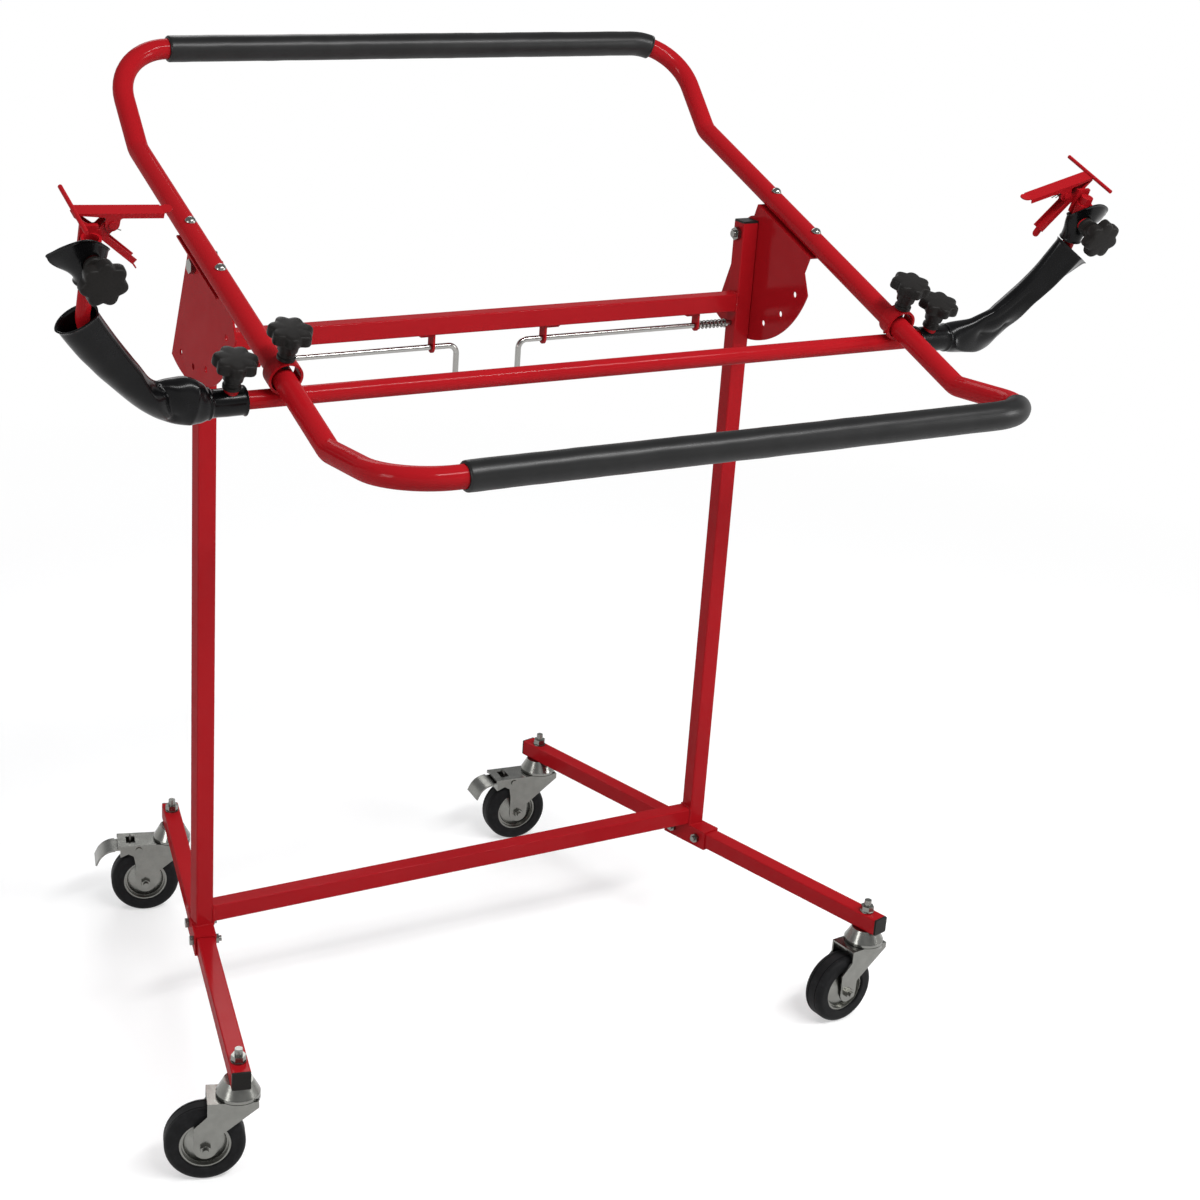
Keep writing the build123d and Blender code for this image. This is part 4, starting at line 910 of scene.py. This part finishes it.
# A knob from its foot up: height, plain radius, share of the star's own radius
knob_profile = (
    (0.0, 0.0050, 0.0),
    (0.0, 0.0110, 0.0),
    (0.0035, 0.0111, 0.0),
    (0.0042, 0.0104, 0.0),
    (0.0050, 0.0096, 0.0),
    (0.0098, 0.0096, 0.0),
    (0.0106, 0.0112, 0.0),
    (0.0114, 0.0118, 0.0),
    (0.0190, 0.0128, 0.0),
    (0.0240, 0.0142, 0.0),
    (0.0264, 0.0160, 0.0),
    (0.0272, 0.0175, 0.25),
    (0.0272, 0.0, 0.90),
    (0.0280, 0.0, 0.975),
    (0.0298, 0.0, 1.0),
    (0.0370, 0.0, 0.988),
    (0.0392, 0.0, 0.965),
    (0.0404, 0.0, 0.925),
    (0.0411, 0.0, 0.86),
    (0.0414, 0.0, 0.72),
    (0.0417, 0.0, 0.45),
    (0.0419, 0.0, 0.18),
)


def knob_mesh(name, foot, axis, start, stud, radius, lobes):
    """A moulded star knob with round lobes, a crowned top, a waisted hub and its stud."""
    points_per_lobe = 16
    lobe_power = 0.72
    stud_radius = 0.0046
    hard_bend = math.radians(40.0)
    valley = radius * 0.815
    spoke_up = (start - axis * start.dot(axis)).normalized()
    spoke_side = axis.cross(spoke_up)
    mesh_maker = bmesh.new()
    loops = []
    for height, plain, share in ((-stud, stud_radius, 0.0),) + knob_profile:
        loop = []
        for angle in ring_angles(lobes * points_per_lobe):
            wave = (0.5 + 0.5 * math.cos(lobes * angle)) ** lobe_power
            star = valley + (radius - valley) * wave
            reach = plain * (1.0 - share) + star * share
            spoke = spoke_up * math.cos(angle) + spoke_side * math.sin(angle)
            loop.append(mesh_maker.verts.new(foot + axis * height + spoke * reach))
        loops.append(loop)
    for lower, upper in zip(loops, loops[1:]):
        join_rings(mesh_maker, lower, upper)
    mesh_maker.faces.new(loops[0][::-1])
    mesh_maker.faces.new(loops[-1])
    return closed_mesh(name, mesh_maker, hard_bend)


class STAND_OT_star_knobs(Operator):
    """Make the six moulded star knobs"""

    bl_idname = "stand.star_knobs"
    bl_label = "Star knobs"

    def execute(self, context):
        sizes = context.scene.stand_sizes
        for name, side in sides.items():
            boss_rise = clamp_boss_rise + clamp_lift[name]
            # Foot of each knob, its axis, where its first lobe points, length of its stud
            places = {
                "slide": (head_point(side * bow_place, cross_along, 0.0811), lift, across, 0.0128),
                "arm": (head_point(side * 0.5, cross_along, 0.0467), lift, across, 0.0087),
                "clamp": (head_point(side * post_place, 0.336, boss_rise), forward, lift, 0.0067),
            }
            for kind, place in places.items():
                piece_name = f"{name}_{kind}_knob_star"
                mesh = knob_mesh(piece_name, *place, sizes.knob_radius, sizes.knob_lobes)
                piece = new_piece(context, piece_name, mesh, "moulded_plastic")
                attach(piece, f"{name}_{kind}_screw")
                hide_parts(f"{name}_{kind}_knob")
        return {"FINISHED"}


# Welds


def bead_tree():
    """Weld beads: a flattened ball on each point, turned along the weld and varied in size."""
    tree = Tree("weld_beads")
    radius = tree.size("Bead")
    ball = tree.node("GeometryNodeMeshIcoSphere", {}, {"Radius": radius, "Subdivisions": 2})
    size = tree.node(
        "FunctionNodeRandomValue", {"data_type": "FLOAT_VECTOR"},
        {0: (0.75, 0.9, 0.9), 1: (1.05, 1.2, 1.15), "Seed": 7},
    )
    return tree.finish(ball, tree.turned("X"), size)


def line_points(start, end, spacing):
    """Points along a straight weld."""
    run = end - start
    count = max(2, round(run.length / spacing))
    direction = run.normalized()
    return [(start + run * (step / count), direction, 1.0) for step in range(count)]


def path_points(corners, spacing):
    """Points along a weld from corner to corner."""
    points = []
    for corner, following in zip(corners, corners[1:]):
        points += line_points(corner, following, spacing)
    return points


def square_points(centre, first, second, spacing):
    """Points of a weld round a square tube."""
    corners = [
        centre + first * (tube_half * a) + second * (tube_half * b)
        for a, b in ((-1, -1), (1, -1), (1, 1), (-1, 1), (-1, -1))
    ]
    return path_points(corners, spacing)


def base_weld_points(spacing):
    """Points of the welds of the crossbars, sleeves and guide tabs."""
    tab_places = (0.086, 0.337)
    tab_reach, tab_half = 0.02, 0.008
    points = []
    for side in sides.values():
        for height in crossbar_middles:
            joint = Vector((side * upright_inside, 0.0, height))
            points += square_points(joint, backwards, upwards, spacing)
        foot = Vector((side * upright_place, 0.0, sleeve_top))
        points += square_points(foot, across, backwards, spacing)
        for place, tab_side in zip(tab_places, (side, -side)):
            edge = side * place + tab_side * tab_reach
            tab = Vector((edge, -tab_half, crossbar_underside))
            points += line_points(tab, tab + backwards * (2.0 * tab_half), spacing)
    return points


def carriage_weld_points(spacing):
    """Points of the welds of the collars on the cross tube."""
    collar_rise, collar_radius = 0.0589, 0.0212
    seam_half, seam_sink = 0.008, 0.0002
    seam_arc, seam_steps = 62.0, 14
    points = []
    for side in sides.values():
        for end in (-seam_half, seam_half):
            seam = []
            for step in range(seam_steps + 1):
                angle = math.radians(-seam_arc + 2.0 * seam_arc * step / seam_steps)
                out = tube_half * math.sin(angle)
                rise = collar_rise - math.sqrt(collar_radius**2 - out**2)
                along = cross_along + end * math.cos(angle)
                seam.append(head_point(side * bow_place + out, along, rise - seam_sink))
            points += path_points(seam, spacing)
    return points


class STAND_OT_weld_beads(Operator):
    """Lay the weld beads where tubes, tabs and collars meet"""

    bl_idname = "stand.weld_beads"
    bl_label = "Weld beads"

    def execute(self, context):
        bead = context.scene.stand_sizes.weld_bead
        spacing = bead * 0.9
        welds = {"base": base_weld_points(spacing), "carriage": carriage_weld_points(spacing)}
        tree = bead_tree()
        inputs = {"Bead": bead, "Finish": finish_named(context, "powder_coat")}
        for body, points in welds.items():
            piece_name = f"{body}_welds"
            mesh = grown_mesh(context, piece_name, tree, points, inputs)
            piece = new_piece(context, piece_name, mesh, "powder_coat")
            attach(piece, body)
        return {"FINISHED"}


# Threads


def thread_tree():
    """Screw threads: a thin ring on each point, across the bolt and as wide as it."""
    tree = Tree("thread_rings")
    depth = tree.size("Depth")
    circle = tree.node("GeometryNodeCurvePrimitiveCircle", {}, {"Resolution": 20, "Radius": 1.0})
    crest = tree.node("GeometryNodeCurvePrimitiveCircle", {}, {"Resolution": 4, "Radius": depth})
    ring = tree.node("GeometryNodeCurveToMesh", {}, {"Curve": circle, "Profile Curve": crest})
    return tree.finish(ring, tree.turned("Z"), tree.told("width", "FLOAT"))


def thread_points(start, direction, length, radius, pitch):
    """Points of the rings along a thread."""
    count = int(length / pitch)
    return [
        (start + direction * (pitch * (step + 0.5)), direction, radius) for step in range(count)
    ]


class STAND_OT_bolt_threads(Operator):
    """Cut the threads on the caster stems and bolt ends"""

    bl_idname = "stand.bolt_threads"
    bl_label = "Bolt threads"

    def execute(self, context):
        pitch = context.scene.stand_sizes.thread_pitch
        thick_bolt, thin_bolt = 0.00485, 0.00385
        thick_nut, thin_nut = 0.0064, 0.0053
        stem_place, stem_foot, stem_length = 0.355, 0.174, 0.0085
        bolt_place, bolt_end = 0.025, 0.004
        depth_share = 0.075
        points = []
        for side in sides.values():
            run = Vector((side * math.sin(leg_splay), -math.cos(leg_splay), 0.0))
            outwards = Vector((side * math.cos(leg_splay), math.sin(leg_splay), 0.0))
            middle = Vector((side * upright_place, 0.0, sleeve_middle))
            for place in (stem_place, -stem_place):
                stem = middle + run * place
                stem.z = stem_foot
                points += thread_points(stem, upwards, stem_length, thick_bolt, pitch)
            for place in (-bolt_place, bolt_place):
                tip = middle + run * place - outwards * (sleeve_half + thin_nut)
                points += thread_points(tip, outwards * -1.0, bolt_end, thin_bolt, pitch)
            tip = Vector((side * (upright_inside - thick_nut), 0.0, pivot.z))
            points += thread_points(tip, across * -side, bolt_end, thick_bolt, pitch)
        inputs = {"Depth": depth_share, "Finish": finish_named(context, "zinc_plate")}
        mesh = grown_mesh(context, "base_threads", thread_tree(), points, inputs)
        piece = new_piece(context, "base_threads", mesh, "zinc_plate")
        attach(piece, "base")
        return {"FINISHED"}


# Camera, floor and lights


white = (1.0, 1.0, 1.0, 1.0)
black = (0.0, 0.0, 0.0, 1.0)


def aim(place, yaw, pitch, roll):
    """The matrix of a camera that looks along a yaw from the back, pitched down and rolled."""
    look = Vector((
        math.sin(yaw) * math.cos(pitch),
        math.cos(yaw) * math.cos(pitch),
        -math.sin(pitch),
    ))
    level = Vector((math.cos(yaw), -math.sin(yaw), 0.0))
    up = level.cross(look)
    right = level * math.cos(roll) + up * math.sin(roll)
    top = up * math.cos(roll) - level * math.sin(roll)
    turn = Matrix((right, top, look * -1.0)).transposed().to_4x4()
    return Matrix.Translation(place) @ turn


def area_light(context, name, place, target, width, height, power):
    """A soft light panel aimed at a point."""
    light = bpy.data.lights.new(name, "AREA")
    light.shape = "RECTANGLE"
    light.size = width
    light.size_y = height
    light.energy = power
    lamp = bpy.data.objects.new(name, light)
    turn = (target - place).to_track_quat("-Z", "Y").to_matrix().to_4x4()
    lamp.matrix_world = Matrix.Translation(place) @ turn
    context.scene.collection.objects.link(lamp)


def floor_finish(colour, glow):
    """A pale floor that keeps the stand's shadow near it and runs out to white further off."""
    fade_start, fade_end, ramp_length = 1.2, 3.0, 10.0
    floor = new_finish("pale_floor")
    seen = floor.seen()
    reach = floor.node("ShaderNodeVectorMath", {"operation": "LENGTH"}, {0: floor.place}, "Value")
    share = reach * (1.0 / ramp_length)
    far = floor.band(share, fade_start / ramp_length, fade_end / ramp_length)
    return floor.done({
        "Base Color": floor.blend(far * seen, opaque(colour), black),
        "Roughness": 0.9,
        "Specular IOR Level": 0.0,
        "Emission Color": floor.blend(seen, black, floor.blend(far, opaque(glow), white)),
        "Emission Strength": 1.0,
    })


def surround(strength):
    """Plain light from all round, seen as a white backdrop up to well above the horizon."""
    backdrop_top, backdrop_end = 0.16, 0.3
    studio = Finish(bpy.data.worlds.new("surround"), "Generated")
    height = studio.node("ShaderNodeSeparateXYZ", {}, {"Vector": studio.place}, "Z")
    backdrop = 1.0 - studio.band(height, backdrop_top, backdrop_end)
    plain = (0.97 * strength, 0.98 * strength, strength, 1.0)
    colour = studio.blend(studio.seen() * backdrop, plain, white)
    light = studio.node("ShaderNodeBackground", {}, {"Color": colour, "Strength": 1.0})
    return studio.close(light, "ShaderNodeOutputWorld")


class STAND_OT_stage(Operator):
    """Set the camera, the pale floor and the soft lights"""

    bl_idname = "stand.stage"
    bl_label = "Stage"

    def execute(self, context):
        scene = context.scene
        stage = scene.stand_stage
        data = bpy.data.cameras.new("photo_camera")
        data.sensor_width = 36.0
        data.lens = stage.focal_length
        data.shift_x, data.shift_y = stage.lens_shift
        data.clip_end = 100.0
        camera = bpy.data.objects.new("photo_camera", data)
        camera.matrix_world = aim(Vector(stage.camera_place), *stage.camera_turn)
        scene.collection.objects.link(camera)
        scene.camera = camera
        scene.view_settings.view_transform = "Standard"

        mesh = bpy.data.meshes.new("floor")
        half = 60.0
        corners = [(half * a, half * b, 0.0) for a, b in ((-1, -1), (1, -1), (1, 1), (-1, 1))]
        mesh.from_pydata(corners, [], [(0, 1, 2, 3)])
        mesh.materials.append(floor_finish(stage.floor_colour, stage.floor_glow))
        floor = bpy.data.objects.new("floor", mesh)
        scene.collection.objects.link(floor)

        target = Vector((0.0, -0.1, 0.8))
        # Each light's place, width, height and power
        lights = {
            "key": ((0.7, -2.4, 3.5), 3.0, 0.35, stage.key_power),
            "fill": ((3.0, -2.2, 1.8), 0.9, 0.9, stage.fill_power),
            "side": ((-3.4, -0.9, 1.7), 0.9, 0.9, stage.side_power),
            "back": ((0.6, 3.0, 3.0), 1.6, 1.6, stage.fill_power),
        }
        for name, (place, width, height, power) in lights.items():
            area_light(context, name, Vector(place), target, width, height, power)
        scene.world = surround(stage.sky)
        return {"FINISHED"}


class STAND_PT_panel(Panel):
    """Settings and steps of the bumper stand"""

    bl_idname = "STAND_PT_panel"
    bl_label = "Bumper stand"
    bl_space_type = "VIEW_3D"
    bl_region_type = "UI"
    bl_category = "Bumper stand"

    def draw(self, context):
        layout = self.layout
        for title, group in (
            ("Colours", context.scene.stand_colours),
            ("Sizes", context.scene.stand_sizes),
            ("Stage", context.scene.stand_stage),
        ):
            box = layout.box()
            box.label(text=title)
            for name in group.__annotations__:
                box.prop(group, name)
        for operator in operators:
            layout.operator(operator.bl_idname)


operators = (
    STAND_OT_metalwork,
    STAND_OT_foam_grips,
    STAND_OT_arm_covers,
    STAND_OT_clamp_covers,
    STAND_OT_star_knobs,
    STAND_OT_weld_beads,
    STAND_OT_bolt_threads,
    STAND_OT_stage,
)
classes = (StandColours, StandSizes, StandStage) + operators + (STAND_PT_panel,)


def register():
    """Register the classes and the settings."""
    for kind in classes:
        bpy.utils.register_class(kind)
    bpy.types.Scene.stand_colours = PointerProperty(type=StandColours)
    bpy.types.Scene.stand_sizes = PointerProperty(type=StandSizes)
    bpy.types.Scene.stand_stage = PointerProperty(type=StandStage)


def unregister():
    """Remove the settings and the classes."""
    del bpy.types.Scene.stand_stage
    del bpy.types.Scene.stand_sizes
    del bpy.types.Scene.stand_colours
    for kind in reversed(classes):
        bpy.utils.unregister_class(kind)


def main():
    """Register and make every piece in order."""
    register()
    bpy.ops.stand.metalwork()
    bpy.ops.stand.foam_grips()
    bpy.ops.stand.arm_covers()
    bpy.ops.stand.clamp_covers()
    bpy.ops.stand.star_knobs()
    bpy.ops.stand.weld_beads()
    bpy.ops.stand.bolt_threads()
    bpy.ops.stand.stage()


if __name__ == "__main__":
    main()
